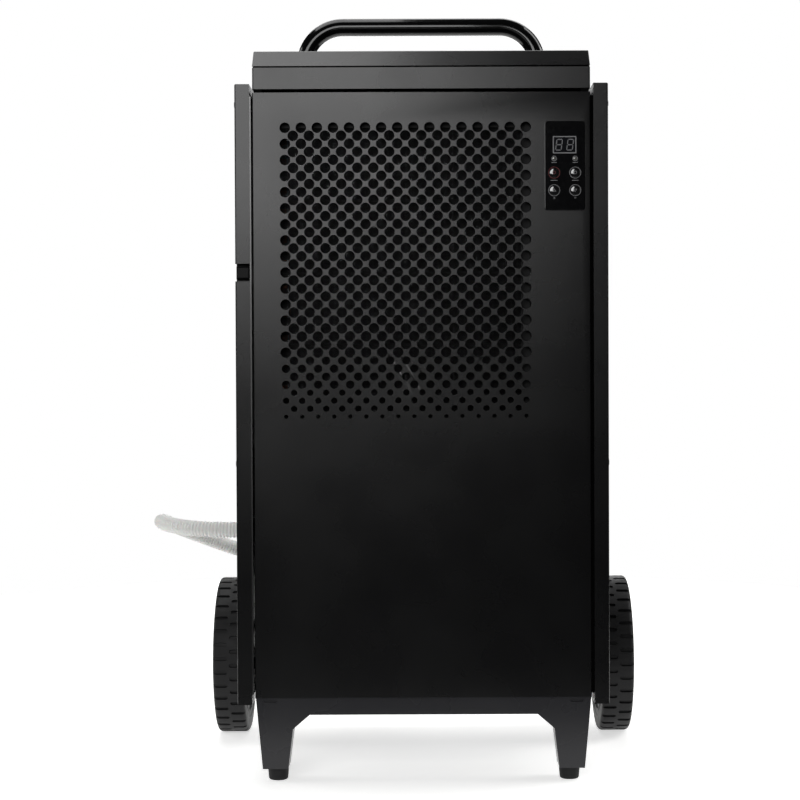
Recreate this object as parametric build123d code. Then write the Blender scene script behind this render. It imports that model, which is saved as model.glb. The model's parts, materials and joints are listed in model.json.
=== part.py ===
from build123d import *
import math
import os

# Wheeled upright dehumidifier. Millimetres, +Z up, front towards -Y, +X to the right when facing the front.
# The origin is on the floor, at the middle of the machine's own box (its hose left out).

# ---- overall sizes ----
body_width = 465.0            # across the two side covers
body_depth = 385.0            # front flange of the side covers to the rear panel's outside
cover_bottom_z = 99.0
cover_top_z = 873.0
wheel_radius = 110.0
wheel_width = 43.0
wheel_gap = 16.0              # side cover to the wheel's inner face
axle_setback = 352.0          # front plane to axle

# ---- sheet metal ----
sheet = 1.5
heavy_sheet = 2.0
slip = 0.3                    # clearance between sheet parts that slide together
cover_flange = 18.5           # width of a side cover's front flange
cover_joint = 3.5             # open joint between a side cover and the front panel
cover_hem = 10.0
edge_radius = 2.0
panel_recess = 3.0            # front panel behind the covers' front flange
panel_return = 8.5
panel_bottom_z = 107.6
panel_top_z = 862.8
header_gap = 4.4              # shadow gap over the front panel
header_height = 26.5
header_return = 14.0
top_seam = 2.0                # dark seam under the top cover
top_cover_height = 22.5
top_slope_depth = 24.0
seam_inset = 3.0

# ---- perforation of the front panel ----
hole_pitch_x = 20.0
hole_pitch_z = 10.0
hole_columns = 16
hole_field_x = -20.0          # middle of the field
hole_top_z = 819.0
hole_bands = ((29, 12.4), (4, 10.0), (3, 7.5), (1, 5.0))   # rows and diameter, from the top down

# ---- control panel ----
bezel_width = 50.6
bezel_height = 111.0
bezel_inset = 7.0             # from the front panel's right edge
bezel_drop = 37.0             # from the front panel's top edge
bezel_corner = 3.5
bezel_plate = 2.2
bezel_rim = 2.0
bezel_body_inset = 5.5
bezel_body_depth = 6.0
window_width = 29.7
window_height = 21.9
window_drop = 18.6
control_spread = 26.2         # between the two columns of buttons and lamps
lamp_drop = 46.6
lamp_radius = 2.5
button_drops = (64.2, 86.1)
button_radius = 6.0
button_travel = 0.8
button_gap = 0.3
button_skirt = 1.5            # the cap's depth behind the bezel's plate
board_thickness = 1.6
switch_height = 1.2

# ---- base, legs and wheels ----
pan_over_axle = 14.0           # axle to the pan floor's underside
pan_skirt_z = 108.0
leg_setback = 8.0
leg_depth = 45.0
leg_bar_z = 85.0
leg_inner_x = 143.0
leg_knee = (164.0, 67.0)
leg_foot_inner_x = 170.0
leg_foot_outer_x = 202.0
leg_slot = (17.0, 4.0)
leg_slot_inset = 18.0
leg_slot_drop = 6.0
slot_doubler = (23.0, 9.0)    # plate welded behind each slot
foot_height = 17.0
foot_radius = 13.5
foot_x = 184.0
axle_radius = 8.0
axle_chamfer = 1.0
axle_bracket_half = 25.0
axle_bracket_drop = 16.0
running_gap = 0.05
rim_radius = 80.0
rim_wall = 6.0
hub_radius = 24.0
hub_web = 5.0
spoke_count = 6
spoke_half = 2.5
cap_height = 13.0
cap_wall = 2.0
tyre_shoulder = 6.0
sleeve_wall = 3.0

# ---- handle ----
handle_diameter = 25.0
handle_wall = 1.5
handle_span = 338.0           # between the legs' centrelines
handle_top_z = 1029.0
handle_bend = 55.0
handle_bottom_z = 560.0
clamp_heights = (600.0, 830.0)
clamp_width = 24.0
clamp_ear = 14.0

# ---- chassis ----
post_front_leg = 10.0
post_side_leg = 26.0
deck_z = 418.0
top_frame_width = 20.0
bracket_heights = (150.0, 400.0, 850.0)
bracket_size = 14.0
rear_screw_heights = (200.0, 500.0, 780.0)
deck_hem = 12.0
screw_radius = 2.0
screw_head_radius = 4.5
screw_head_height = 2.0

# ---- air filter ----
filter_thickness = 10.0
filter_setback = 12.0         # front panel's face to the filter
filter_margin = 13.0          # beyond the last rows of holes
filter_bar = 12.0
filter_left_bar = 24.0
filter_rib = 3.0
filter_cells = 4
filter_mesh_thickness = 1.0
filter_slot_gap = 1.5
notch_height = 22.0
notch_z = 639.0
grip_height = 16.0
grip_reach = 6.0

# ---- air path ----
coil_left_x = -170.0
coil_right_x = 136.0
coil_bottom_z = 446.0
coil_top_z = 830.0
evaporator_y = -198.0
evaporator_depth = 38.0
condenser_y = -150.0
condenser_depth = 38.0
fin_count = 31
fin_thickness = 0.6
coil_tube_radius = 4.0
coil_passes = 12
shroud_setback = 70.0         # fan shroud's plate in front of the rear panel
fan_radius = 140.0
fan_tip_gap = 5.0
fan_ring_depth = 38.0
fan_hub_radius = 38.0
fan_blades = 5
fan_pitch_angle = 28.0
fan_z = 641.0
motor_radius = 42.0
motor_length = 80.0
motor_end_wall = 12.0
shaft_radius = 4.0
outlet_radius = 145.0
outlet_hole = 10.0
outlet_pitch = 14.0

# ---- cooling circuit ----
compressor_x = 70.0
compressor_y = -30.0
compressor_radius = 62.0
compressor_height = 240.0
compressor_mount_height = 15.0
accumulator_radius = 26.0
accumulator_height = 160.0
pipe_radius = 4.0
capillary_radius = 2.0
foot_plate = 3.0
can_round = 18.0
drier_radius = 11.0
drier_rise = (60.0, 160.0)    # over the pan
pipe_bend = 15.0
small_bend = 10.0

# ---- electrics ----
box_left_x = -190.0
box_width = 130.0
box_depth = 60.0
box_height = 150.0
box_setback = 12.0
box_wall = 3.0
cable_hole_radius = 8.0
capacitor_x = -20.0
capacitor_radius = 22.0
capacitor_height = 90.0
capacitor_setback = 45.0

# ---- drain ----
tray_wall = 1.5
tray_height = 20.0
tray_spout = 10.0             # below the deck
drain_tube_radius = 8.0
drain_tube_bore = 6.0
drain_bend = 25.0
spigot_hole_radius = 12.2
spigot_y = -14.0
spigot_rise = 80.0            # over the wheels' top
spigot_reach = 11.5           # outside of the side cover to the start of the hose
hose_diameter = 22.0
coil_first_radius = 135.0     # hose coil on the floor, centreline of its outer turn
coil_turns = 2
coil_centre_x = 40.0
coil_setback = 238.0          # rear panel to the coil's centre
tie_thickness = 1.2
tie_width = 8.0
tie_clearance = 0.3

# ---- mains gland ----
gland_x = 150.0
gland_z = 170.0
gland_thread_radius = 8.0
gland_bore_radius = 4.5
gland_nut_radius = 13.0
gland_nut_depth = 7.0
gland_dome_radius = 11.0
gland_reach = 20.0

# ---- worked-out places ----
half_width = body_width / 2
front_y = -(axle_setback + wheel_radius) / 2
rear_y = front_y + body_depth
axle_y = front_y + axle_setback
axle_z = wheel_radius
cover_inner_x = half_width - cover_flange
panel_half = cover_inner_x - cover_joint
panel_y = front_y + panel_recess
post_x = panel_half - sheet - slip
post_front_y = panel_y + sheet
post_rear_y = rear_y - sheet
pan_floor_z = axle_z + pan_over_axle
pan_top_z = pan_floor_z + heavy_sheet
deck_top_z = deck_z + heavy_sheet
header_bottom_z = panel_top_z + header_gap
header_top_z = header_bottom_z + header_height
post_top_z = header_top_z - sheet - heavy_sheet
top_lip_z = header_top_z + top_seam
top_z = top_lip_z + top_cover_height
hole_rows = sum(count for count, _ in hole_bands)
hole_bottom_z = hole_top_z - (hole_rows - 1) * hole_pitch_z
hole_right_x = hole_field_x + (hole_columns - 1) * hole_pitch_x / 2
filter_y = panel_y + filter_setback
filter_top_z = hole_top_z + filter_margin
filter_bottom_z = hole_bottom_z - filter_margin
filter_left_x = -half_width + 0.5
filter_right_x = hole_right_x + filter_bar / 2
slot_front_y = filter_y - filter_slot_gap
slot_rear_y = filter_y + filter_thickness + filter_slot_gap
slot_top_z = filter_top_z + filter_slot_gap
slot_bottom_z = filter_bottom_z - filter_slot_gap
bezel_x = panel_half - bezel_inset - bezel_width / 2
bezel_top_z = panel_top_z - bezel_drop
bezel_z = bezel_top_z - bezel_height / 2
bezel_y = panel_y - bezel_plate
board_y = panel_y + bezel_body_depth
window_z = bezel_top_z - window_drop - window_height / 2
lamp_z = bezel_top_z - lamp_drop
column_x = (bezel_x - control_spread / 2, bezel_x + control_spread / 2)
wheel_inner_x = half_width + wheel_gap
wheel_outer_x = wheel_inner_x + wheel_width
boss_inner_x = wheel_inner_x + 2.0
boss_outer_x = wheel_outer_x - 15.0
handle_y = rear_y + handle_diameter / 2 + slip
handle_x = handle_span / 2
shroud_y = rear_y - shroud_setback
fan_front_y = shroud_y + heavy_sheet + 4.0
fan_rear_y = fan_front_y + fan_ring_depth - 6.0
motor_rear_y = shroud_y - heavy_sheet
drip_outlet = (-150.0, condenser_y + 20.0)
compressor_floor_z = pan_top_z + compressor_mount_height
compressor_top_z = compressor_floor_z + compressor_height
accumulator_x = compressor_x - compressor_radius - accumulator_radius - 6.0
accumulator_bottom_z = compressor_floor_z + 40.0
accumulator_top_z = accumulator_bottom_z + accumulator_height
mount_reach = compressor_radius + 14.0
liquid_line_place = (compressor_x + compressor_radius + 50.0, compressor_y - 40.0)
capillary_place = (liquid_line_place[0], evaporator_y + evaporator_depth / 2)
spigot_z = 2 * wheel_radius + spigot_rise
spigot_inner_x = -half_width + 8.0
hose_start_x = -half_width - spigot_reach
coil_centre = (coil_centre_x, rear_y + coil_setback)
hose_floor_z = hose_diameter / 2 + tie_thickness + tie_clearance


# ---- building helpers ----
def box(x0, x1, y0, y1, z0, z1):
    """A block between two corners."""
    place = Pos((x0 + x1) / 2, (y0 + y1) / 2, (z0 + z1) / 2)
    return place * Box(x1 - x0, y1 - y0, z1 - z0)


def rod(start, end, radius):
    """A round bar from one point to another."""
    line = Vector(*end) - Vector(*start)
    from_start = (Align.CENTER, Align.CENTER, Align.MIN)
    return Plane(origin=start, z_dir=line) * Cylinder(radius, line.length, align=from_start)


def pipe(start, end, radius, bore):
    """A round bar with a bore."""
    return rod(start, end, radius) - rod(start, end, bore)


def slab(sketch, y0, y1):
    """A sketch drawn in X and Z, thickened from y0 to y1."""
    return extrude(Plane(origin=(0, y1, 0), x_dir=(1, 0, 0), z_dir=(0, -1, 0)) * sketch, amount=y1 - y0)


def prism_x(points, x0, x1):
    """A profile of (y, z) points, drawn out along X."""
    face = Face(Wire.make_polygon([(x0, y, z) for y, z in points]))
    return Solid.extrude(face, Vector(x1 - x0, 0, 0))


def turned_x(points, rounds=()):
    """A profile of (x, radius) points turned round the axle line; rounds are (corner index, radius)."""
    profile = Face(Wire.make_polygon([(x, r, 0) for x, r in points]))
    for index, radius in rounds:
        corner = profile.vertices().sort_by_distance((points[index][0], points[index][1], 0))[0]
        profile = profile.fillet_2d(radius, [corner])
    return Pos(0, axle_y, axle_z) * revolve(profile, Axis.X)


def punched_plate(outline, holes, y0, y1):
    """A flat plate facing -Y with round holes, each (x, z, radius)."""
    plane = Plane(origin=(0, y1, 0), x_dir=(1, 0, 0), z_dir=(0, -1, 0))
    outer = (plane * outline).face().outer_wire()
    inner = [
        Wire.make_circle(radius, Plane(origin=(x, y1, z), x_dir=(1, 0, 0), z_dir=(0, -1, 0)))
        for x, z, radius in holes
    ]
    return Solid.extrude(Face(outer, inner), Vector(0, y0 - y1, 0))


def mirror_x(shape):
    return mirror(shape, about=Plane.YZ)


def bent_tube(points, radii, radius, bore=0.0):
    """A round tube along straight runs joined by arcs."""
    path = FilletPolyline(*points, radius=radii)
    start = Plane(origin=path @ 0, z_dir=path % 0)
    tube = sweep(start * Circle(radius), path=path)
    if bore:
        tube = tube - sweep(start * Circle(bore), path=path)
    return tube, path


def corner_radii(points):
    """The largest arc that each corner's two runs allow."""
    radii = []
    for before, here, after in zip(points, points[1:], points[2:]):
        first = Vector(*here) - Vector(*before)
        second = Vector(*after) - Vector(*here)
        half_turn = math.radians(first.get_angle(second)) / 2
        radii.append(0.45 * min(first.length, second.length) / math.tan(half_turn))
    return radii


# ---- places that several pieces share ----
bracket_front_y = max(post_front_y + panel_return, front_y + cover_hem) + bracket_size / 2 + slip
bracket_rear_y = rear_y - max(panel_return, cover_hem) - bracket_size / 2 - slip
cover_screw_places = [(y, z) for y in (bracket_front_y, bracket_rear_y) for z in bracket_heights]
rear_screw_x = post_x - post_front_leg / 2
rear_screw_places = [(side * rear_screw_x, z) for side in (-1, 1) for z in rear_screw_heights]
clamp_screw_reach = handle_diameter / 2 + heavy_sheet + clamp_ear / 2
clamp_screw_places = [
    (side * handle_x + hand * clamp_screw_reach, z)
    for side in (-1, 1) for hand in (-1, 1) for z in clamp_heights
]
deck_holes = [
    ((compressor_x, compressor_y), pipe_radius), ((accumulator_x, compressor_y), pipe_radius),
    (drip_outlet, drain_tube_radius), (liquid_line_place, pipe_radius), (capillary_place, capillary_radius),
]


# ---- base and legs ----
def base_pan():
    """Pressed floor pan with a skirt, notched where the axle passes."""
    outer = box(-post_x, post_x, post_front_y, post_rear_y, pan_skirt_z, pan_top_z)
    inner = box(
        -post_x + heavy_sheet, post_x - heavy_sheet,
        post_front_y + heavy_sheet, post_rear_y - heavy_sheet,
        pan_skirt_z - 1, pan_floor_z,
    )
    notch = rod((-post_x - 1, axle_y, axle_z), (post_x + 1, axle_y, axle_z), axle_radius + 1.0)
    return outer - inner - notch


def leg_frame():
    """Front bar and two tapered legs, one folded sheet."""
    right = [
        (leg_inner_x, leg_bar_z), leg_knee, (leg_foot_inner_x, foot_height),
        (leg_foot_outer_x, foot_height), (panel_half, pan_skirt_z),
    ]
    outline = right + [(-x, z) for x, z in reversed(right)]
    face = Face(Wire.make_polygon([(x, z, 0) for x, z in outline]))
    inner = offset(face, -heavy_sheet, kind=Kind.INTERSECTION)
    plate_y = front_y + leg_setback
    back_y = plate_y + leg_depth
    shell = slab(face, plate_y, back_y) - slab(inner, plate_y + heavy_sheet, back_y + 1)
    inside_y = plate_y + heavy_sheet
    for side in (-1, 1):
        slot_place = Pos(side * (panel_half - leg_slot_inset), pan_skirt_z - leg_slot_drop)
        shell = shell - slab(slot_place * SlotOverall(*leg_slot), plate_y - 1, inside_y + 1)
        shell = shell + slab(slot_place * Rectangle(*slot_doubler), inside_y, inside_y + heavy_sheet)
    return shell


def feet():
    """Two moulded rubber feet under the legs."""
    feet_made = []
    for side in (-1, 1):
        place = Pos(side * foot_x, front_y + leg_setback + leg_depth / 2, foot_height / 2)
        cone = place * Cone(foot_radius - 1.5, foot_radius, foot_height)
        feet_made.append(fillet(cone.edges().sort_by(Axis.Z)[0], 3.0))
    return feet_made


def axle_brackets():
    """Plates welded inside the pan's skirt that carry the axle."""
    plate = box(
        post_x - 2 * heavy_sheet, post_x - heavy_sheet,
        axle_y - axle_bracket_half, axle_y + axle_bracket_half, axle_z - axle_bracket_drop, pan_floor_z,
    )
    plate = plate - rod((0, axle_y, axle_z), (post_x, axle_y, axle_z), axle_radius + running_gap)
    return [plate, mirror_x(plate)]


def axle():
    end_x = boss_outer_x + 8.0
    bar = rod((-end_x, axle_y, axle_z), (end_x, axle_y, axle_z), axle_radius)
    return chamfer(bar.edges().filter_by(GeomType.CIRCLE), axle_chamfer)


def axle_hardware():
    """Spacer sleeves inside the wheels, washers and push nuts outside them."""
    pieces = []
    for side in (-1, 1):
        for x0, x1, radius in (
            (post_x + slip, boss_inner_x - slip, axle_radius + sleeve_wall),
            (boss_outer_x + 0.2, boss_outer_x + 1.7, 15.0),
            (boss_outer_x + 1.9, boss_outer_x + 6.0, 12.5),
        ):
            start = (side * x0, axle_y, axle_z)
            end = (side * x1, axle_y, axle_z)
            pieces.append(pipe(start, end, radius, axle_radius + running_gap))
    return pieces


def tyre():
    """Tread ring with rounded shoulders."""
    bottom = rim_radius + running_gap
    points = [
        (wheel_inner_x, bottom), (wheel_outer_x, bottom),
        (wheel_outer_x, wheel_radius), (wheel_inner_x, wheel_radius),
    ]
    return turned_x(points, ((2, tyre_shoulder), (3, tyre_shoulder)))


def wheel():
    """Moulded wheel: rim, web, ribs and a boss bored for the axle."""
    middle = (wheel_inner_x + wheel_outer_x) / 2
    rim_in, rim_out = wheel_inner_x + 3.0, wheel_outer_x - 3.0
    rim_bore = rim_radius - rim_wall
    rim = turned_x([(rim_in, rim_bore), (rim_out, rim_bore), (rim_out, rim_radius), (rim_in, rim_radius)])
    web_in, web_out = middle - hub_web / 2, middle + hub_web / 2
    web = turned_x([
        (web_in, hub_radius - 2), (web_out, hub_radius - 2), (web_out, rim_bore + 1), (web_in, rim_bore + 1),
    ])
    body = rim + web + rod((boss_inner_x, axle_y, axle_z), (boss_outer_x, axle_y, axle_z), hub_radius)
    for index in range(spoke_count):
        spoke = box(rim_in + 4.0, boss_outer_x, -spoke_half, spoke_half, hub_radius - 2, rim_bore + 1)
        body = body + Pos(0, axle_y, axle_z) * Rot(360.0 * index / spoke_count, 0, 0) * spoke
    return body - rod((0, axle_y, axle_z), (wheel_outer_x + 1, axle_y, axle_z), axle_radius + running_gap)


def wheel_cap():
    """Snap cap over the axle's end."""
    outer_x = boss_outer_x + cap_height
    cup = turned_x(
        [(boss_outer_x, 0), (outer_x, 0), (outer_x, hub_radius), (boss_outer_x, hub_radius)], ((2, 3.0),)
    )
    start, end = (boss_outer_x - 1, axle_y, axle_z), (outer_x - cap_wall, axle_y, axle_z)
    return cup - rod(start, end, hub_radius - cap_wall)


# ---- chassis ----
def corner_posts(front):
    """Two L-section posts; the left front one is slotted for the filter."""
    posts = []
    for side in (-1, 1):
        x0, x1 = sorted((side * post_x, side * (post_x - post_front_leg)))
        s0, s1 = sorted((side * post_x, side * (post_x - heavy_sheet)))
        if front:
            face_leg = box(x0, x1, post_front_y, post_front_y + heavy_sheet, pan_top_z, post_top_z)
            side_leg = box(s0, s1, post_front_y, post_front_y + post_side_leg, pan_top_z, post_top_z)
        else:
            face_leg = box(x0, x1, post_rear_y - heavy_sheet, post_rear_y, pan_top_z, post_top_z)
            side_leg = box(s0, s1, post_rear_y - post_side_leg, post_rear_y, pan_top_z, post_top_z)
        post = face_leg + side_leg
        if front and side < 0:
            leg_end_y = post_front_y + post_side_leg
            post = post - box(s0 - 1, s1 + 1, slot_front_y, leg_end_y + 1, slot_bottom_z, slot_top_z)
        posts.append(post)
    return posts


def top_frame():
    """Flat ring on top of the posts."""
    z0, z1 = post_top_z, post_top_z + heavy_sheet
    outer = box(-post_x, post_x, post_front_y, post_rear_y, z0, z1)
    x, y0, y1 = post_x - top_frame_width, post_front_y + top_frame_width, post_rear_y - top_frame_width
    return outer - box(-x, x, y0, y1, z0 - 1, z1 + 1)


def deck():
    """Shelf between the cooling circuit below and the air path above."""
    x = post_x - heavy_sheet
    y0, y1 = post_front_y + heavy_sheet, post_rear_y - heavy_sheet
    plate = box(-x, x, y0, y1, deck_z, deck_top_z)
    plate = plate + box(-x, -x + heavy_sheet, y0, y1, deck_z - deck_hem, deck_z)
    plate = plate + box(x - heavy_sheet, x, y0, y1, deck_z - deck_hem, deck_z)
    for (hole_x, hole_y), radius in deck_holes:
        plate = plate - rod((hole_x, hole_y, deck_z - 1), (hole_x, hole_y, deck_top_z + 1), radius + 2.0)
    return plate


def cover_brackets():
    """Stand-off channels between the posts and the side covers' outer walls."""
    brackets = []
    x0, x1 = post_x, half_width - sheet
    half = bracket_size / 2
    for y, z in cover_screw_places:
        channel = box(x0, x1, y - half, y + half, z - half, z + half)
        channel = channel - box(
            x0 + sheet, x1 - sheet, y - half + sheet, y + half + 1, z - half - 1, z + half + 1
        )
        channel = channel - rod((x1 - 3.0, y, z), (x1 + 1, y, z), screw_radius + 0.1)
        brackets += [channel, mirror_x(channel)]
    return brackets


# ---- casing ----
def side_cover(left):
    """Shallow steel tray with hemmed edges; built on the right, mirrored for the left."""
    y0, y1, z0, z1 = front_y, rear_y, cover_bottom_z, cover_top_z
    outer = box(cover_inner_x, half_width, y0, y1, z0, z1)
    outer = fillet(outer.faces().sort_by(Axis.X)[-1].edges(), edge_radius)
    tray = outer - box(
        cover_inner_x - 1, half_width - sheet, y0 + sheet, y1 - sheet, z0 + sheet, z1 - sheet
    )
    hem = box(cover_inner_x, cover_inner_x + sheet, y0, y1, z0, z1)
    hem = hem - box(
        cover_inner_x - 1, cover_inner_x + sheet + 1,
        y0 + cover_hem, y1 - cover_hem, z0 + cover_hem, z1 - cover_hem,
    )
    tray = tray + hem
    axle_clear = axle_radius + sleeve_wall + 2.0
    cut0, cut1 = cover_inner_x - 1, half_width + 1
    tray = tray - rod((cut0, axle_y, axle_z), (cut1, axle_y, axle_z), axle_clear)
    tray = tray - box(cut0, cut1, axle_y - axle_clear, axle_y + axle_clear, z0 - 1, axle_z)
    for y, z in cover_screw_places:
        tray = tray - rod((half_width - 3, y, z), (half_width + 1, y, z), screw_radius + 0.1)
    if not left:
        return tray
    tray = mirror_x(tray)
    x0, x1 = -half_width - 1, -half_width + 3
    slot = box(x0, x1, slot_front_y, slot_rear_y, slot_bottom_z, slot_top_z)
    notch = box(
        x0, -cover_inner_x + 1, y0 - 1, slot_rear_y, notch_z - notch_height / 2, notch_z + notch_height / 2
    )
    spigot_hole = rod((x0, spigot_y, spigot_z), (x1, spigot_y, spigot_z), spigot_hole_radius)
    return tray - slot - notch - spigot_hole


def front_holes():
    """Centres and radii of the graded, staggered perforation."""
    holes = []
    row = 0
    for count, diameter in hole_bands:
        for _ in range(count):
            columns = hole_columns - row % 2
            z = hole_top_z - row * hole_pitch_z
            for column in range(columns):
                x = hole_field_x + (column - (columns - 1) / 2) * hole_pitch_x
                holes.append((x, z, diameter / 2))
            row += 1
    return holes


def front_panel():
    """Perforated sheet with side and top returns and the control cut-out."""
    height = panel_top_z - panel_bottom_z
    middle = Pos(0, (panel_top_z + panel_bottom_z) / 2)
    outline = middle * RectangleRounded(2 * panel_half, height, edge_radius)
    plate = punched_plate(outline, front_holes(), panel_y, panel_y + sheet)
    z0, z1 = panel_bottom_z + edge_radius, panel_top_z - edge_radius
    for side in (-1, 1):
        x0, x1 = sorted((side * (panel_half - sheet), side * panel_half))
        plate = plate + box(x0, x1, panel_y + sheet, post_front_y + panel_return, z0, z1)
    opening = bezel_width - 2 * bezel_body_inset + slip, bezel_height - 2 * bezel_body_inset + slip
    cut = Pos(bezel_x, bezel_z) * Rectangle(*opening)
    return plate - slab(cut, panel_y - 1, panel_y + sheet + 1)


def header_rail():
    """Band round the top of the machine, with a return at its top edge."""
    x, y0, y1 = panel_half, panel_y, rear_y - sheet
    z0, z1 = header_bottom_z, header_top_z
    band = box(-x, x, y0, y1, z0, z1)
    band = fillet(band.edges().filter_by(Axis.Z).sort_by(Axis.Y)[:2], edge_radius)
    band = band - box(-x + sheet, x - sheet, y0 + sheet, y1 + 1, z0 - 1, z1 - sheet)
    inset = header_return
    return band - box(-x + inset, x - inset, y0 + inset, y1 - inset, z1 - sheet - 1, z1 + 1)


def top_cover():
    """Lid with a sloped front, closed ends and a stepped skirt that makes the dark seam."""
    def profile(inset):
        slope = inset * 0.6
        return [
            (panel_y + inset * 1.4, top_lip_z), (panel_y + top_slope_depth + slope, top_z - inset),
            (rear_y - inset, top_z - inset), (rear_y - inset, top_lip_z),
        ]
    outer = prism_x(profile(0.0), -panel_half, panel_half)
    ridge = outer.edges().filter_by(Axis.X).sort_by(Axis.Z)[-2:].sort_by(Axis.Y)[0]
    solid = fillet(ridge, 5.0)
    by_x = solid.faces().sort_by(Axis.X)
    ends = [edge for face in (by_x[0], by_x[-1]) for edge in face.edges() if edge.center().Z > top_lip_z + 1]
    solid = fillet(ends, edge_radius / 2)
    hollow = solid - prism_x(profile(sheet), -panel_half + sheet, panel_half - sheet)
    def ring(inset, z0, z1):
        return box(-panel_half + inset, panel_half - inset, panel_y + inset, rear_y - inset, z0, z1)
    opening = ring(seam_inset + 2 * sheet, header_top_z - 1, top_lip_z + sheet + 1)
    shelf = (ring(0.0, top_lip_z, top_lip_z + sheet) & solid) - opening
    skirt = ring(seam_inset, header_top_z, top_lip_z + sheet) - opening
    return hollow + shelf + skirt


def outlet_holes():
    """Staggered holes over the round air outlet."""
    holes = []
    row_pitch = outlet_pitch * math.sqrt(3) / 2
    rows = int(outlet_radius // row_pitch)
    for row in range(-rows, rows + 1):
        z = row * row_pitch
        shift = outlet_pitch / 2 if row % 2 else 0.0
        reach = int(outlet_radius // outlet_pitch) + 1
        for column in range(-reach, reach + 1):
            x = column * outlet_pitch + shift
            if math.hypot(x, z) <= outlet_radius - outlet_hole / 2:
                holes.append((x, fan_z + z, outlet_hole / 2))
    return holes


def rear_panel():
    """Back sheet with the round outlet field and screw holes."""
    height = header_top_z - panel_bottom_z
    middle = Pos(0, (header_top_z + panel_bottom_z) / 2)
    outline = middle * RectangleRounded(2 * panel_half, height, edge_radius)
    holes = outlet_holes()
    holes += [(x, z, screw_radius + 0.1) for x, z in rear_screw_places + clamp_screw_places]
    holes.append((gland_x, gland_z, gland_thread_radius + 0.2))
    plate = punched_plate(outline, holes, rear_y - sheet, rear_y)
    z0, z1 = panel_bottom_z + edge_radius, header_bottom_z - 1
    for side in (-1, 1):
        x0, x1 = sorted((side * (panel_half - sheet), side * panel_half))
        plate = plate + box(x0, x1, rear_y - panel_return, rear_y - sheet, z0, z1)
    return plate


# ---- handle ----
def handle_tube():
    """One bent tube: two legs down the back and the grip bar over the top."""
    bar_z = handle_top_z - handle_diameter / 2
    points = [
        (-handle_x, handle_y, handle_bottom_z), (-handle_x, handle_y, bar_z),
        (handle_x, handle_y, bar_z), (handle_x, handle_y, handle_bottom_z),
    ]
    radius = handle_diameter / 2
    tube, _ = bent_tube(points, [handle_bend, handle_bend], radius, radius - handle_wall)
    return tube


def handle_plugs():
    """Push-in plugs that close the tube's two ends."""
    plugs = []
    for side in (-1, 1):
        x = side * handle_x
        head = rod((x, handle_y, handle_bottom_z - 3.0), (x, handle_y, handle_bottom_z), handle_diameter / 2)
        head = fillet(head.edges().sort_by(Axis.Z)[0], 1.5)
        stem_radius = handle_diameter / 2 - handle_wall - running_gap
        stem = rod((x, handle_y, handle_bottom_z), (x, handle_y, handle_bottom_z + 12.0), stem_radius)
        plugs.append(head + stem)
    return plugs


def handle_clamps():
    """Saddle straps that hold the handle's legs to the rear panel."""
    clamps = []
    inner = handle_diameter / 2 + 0.15
    outer = inner + heavy_sheet
    for side in (-1, 1):
        for z in clamp_heights:
            x, z0, z1 = side * handle_x, z - clamp_width / 2, z + clamp_width / 2
            ear = outer + clamp_ear
            strap = rod((x, handle_y, z0), (x, handle_y, z1), outer)
            strap = strap + box(x - outer, x + outer, rear_y, handle_y, z0, z1)
            strap = strap + box(x - ear, x + ear, rear_y, rear_y + heavy_sheet, z0, z1)
            strap = strap - rod((x, handle_y, z0 - 1), (x, handle_y, z1 + 1), inner)
            strap = strap - box(x - inner, x + inner, rear_y - 1, handle_y, z0 - 1, z1 + 1)
            strap = strap - box(x - outer - 1, x + outer + 1, rear_y - outer, rear_y, z0 - 1, z1 + 1)
            for hand in (-1, 1):
                hole_x = x + hand * clamp_screw_reach
                strap = strap - rod((hole_x, rear_y - 1, z), (hole_x, rear_y + 3, z), screw_radius + 0.1)
            clamps.append(strap)
    return clamps


# ---- control panel ----
def control_bezel():
    """Black moulding with a rim that reaches back to the circuit board."""
    middle = Pos(bezel_x, bezel_z)
    plate = slab(middle * RectangleRounded(bezel_width, bezel_height, bezel_corner), bezel_y, panel_y)
    plate = fillet(plate.faces().sort_by(Axis.Y)[0].edges(), 0.8)
    rim_width, rim_height = bezel_width - 2 * bezel_body_inset, bezel_height - 2 * bezel_body_inset
    rim = slab(middle * Rectangle(rim_width, rim_height), panel_y, board_y)
    inner = middle * Rectangle(rim_width - 2 * bezel_rim, rim_height - 2 * bezel_rim)
    bezel = plate + (rim - slab(inner, panel_y, board_y + 1))
    window = Pos(bezel_x, window_z) * Rectangle(window_width, window_height)
    bezel = bezel - slab(window, bezel_y - 1, panel_y)
    for x in column_x:
        bezel = bezel - rod((x, bezel_y - 1, lamp_z), (x, panel_y + 1, lamp_z), lamp_radius + 0.1)
        for drop in button_drops:
            z = bezel_top_z - drop
            well = panel_y + button_skirt + button_travel + button_gap
            bezel = bezel - rod((x, bezel_y - 1, z), (x, well, z), button_radius + button_gap)
    return bezel


def display_window():
    size = window_width - 0.2, window_height - 0.2
    return slab(Pos(bezel_x, window_z) * Rectangle(*size), bezel_y + 0.2, panel_y)


def led_lenses():
    """Two round indicator lenses with flanges behind the bezel."""
    lenses = []
    for x in column_x:
        lens = rod((x, bezel_y - 0.4, lamp_z), (x, board_y, lamp_z), lamp_radius)
        lenses.append(fillet(lens.edges().sort_by(Axis.Y)[0], 0.6))
    return lenses


def button(column, drop):
    """Domed cap and stem; the stem's end stops button_travel short of the switch."""
    x, z = column_x[column], bezel_top_z - drop
    back = panel_y + button_skirt
    cap = rod((x, bezel_y - 0.7, z), (x, back, z), button_radius)
    cap = fillet(cap.edges().sort_by(Axis.Y)[0], 1.2)
    return cap + rod((x, back, z), (x, board_y - switch_height - button_travel - 0.1, z), 2.5)


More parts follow.
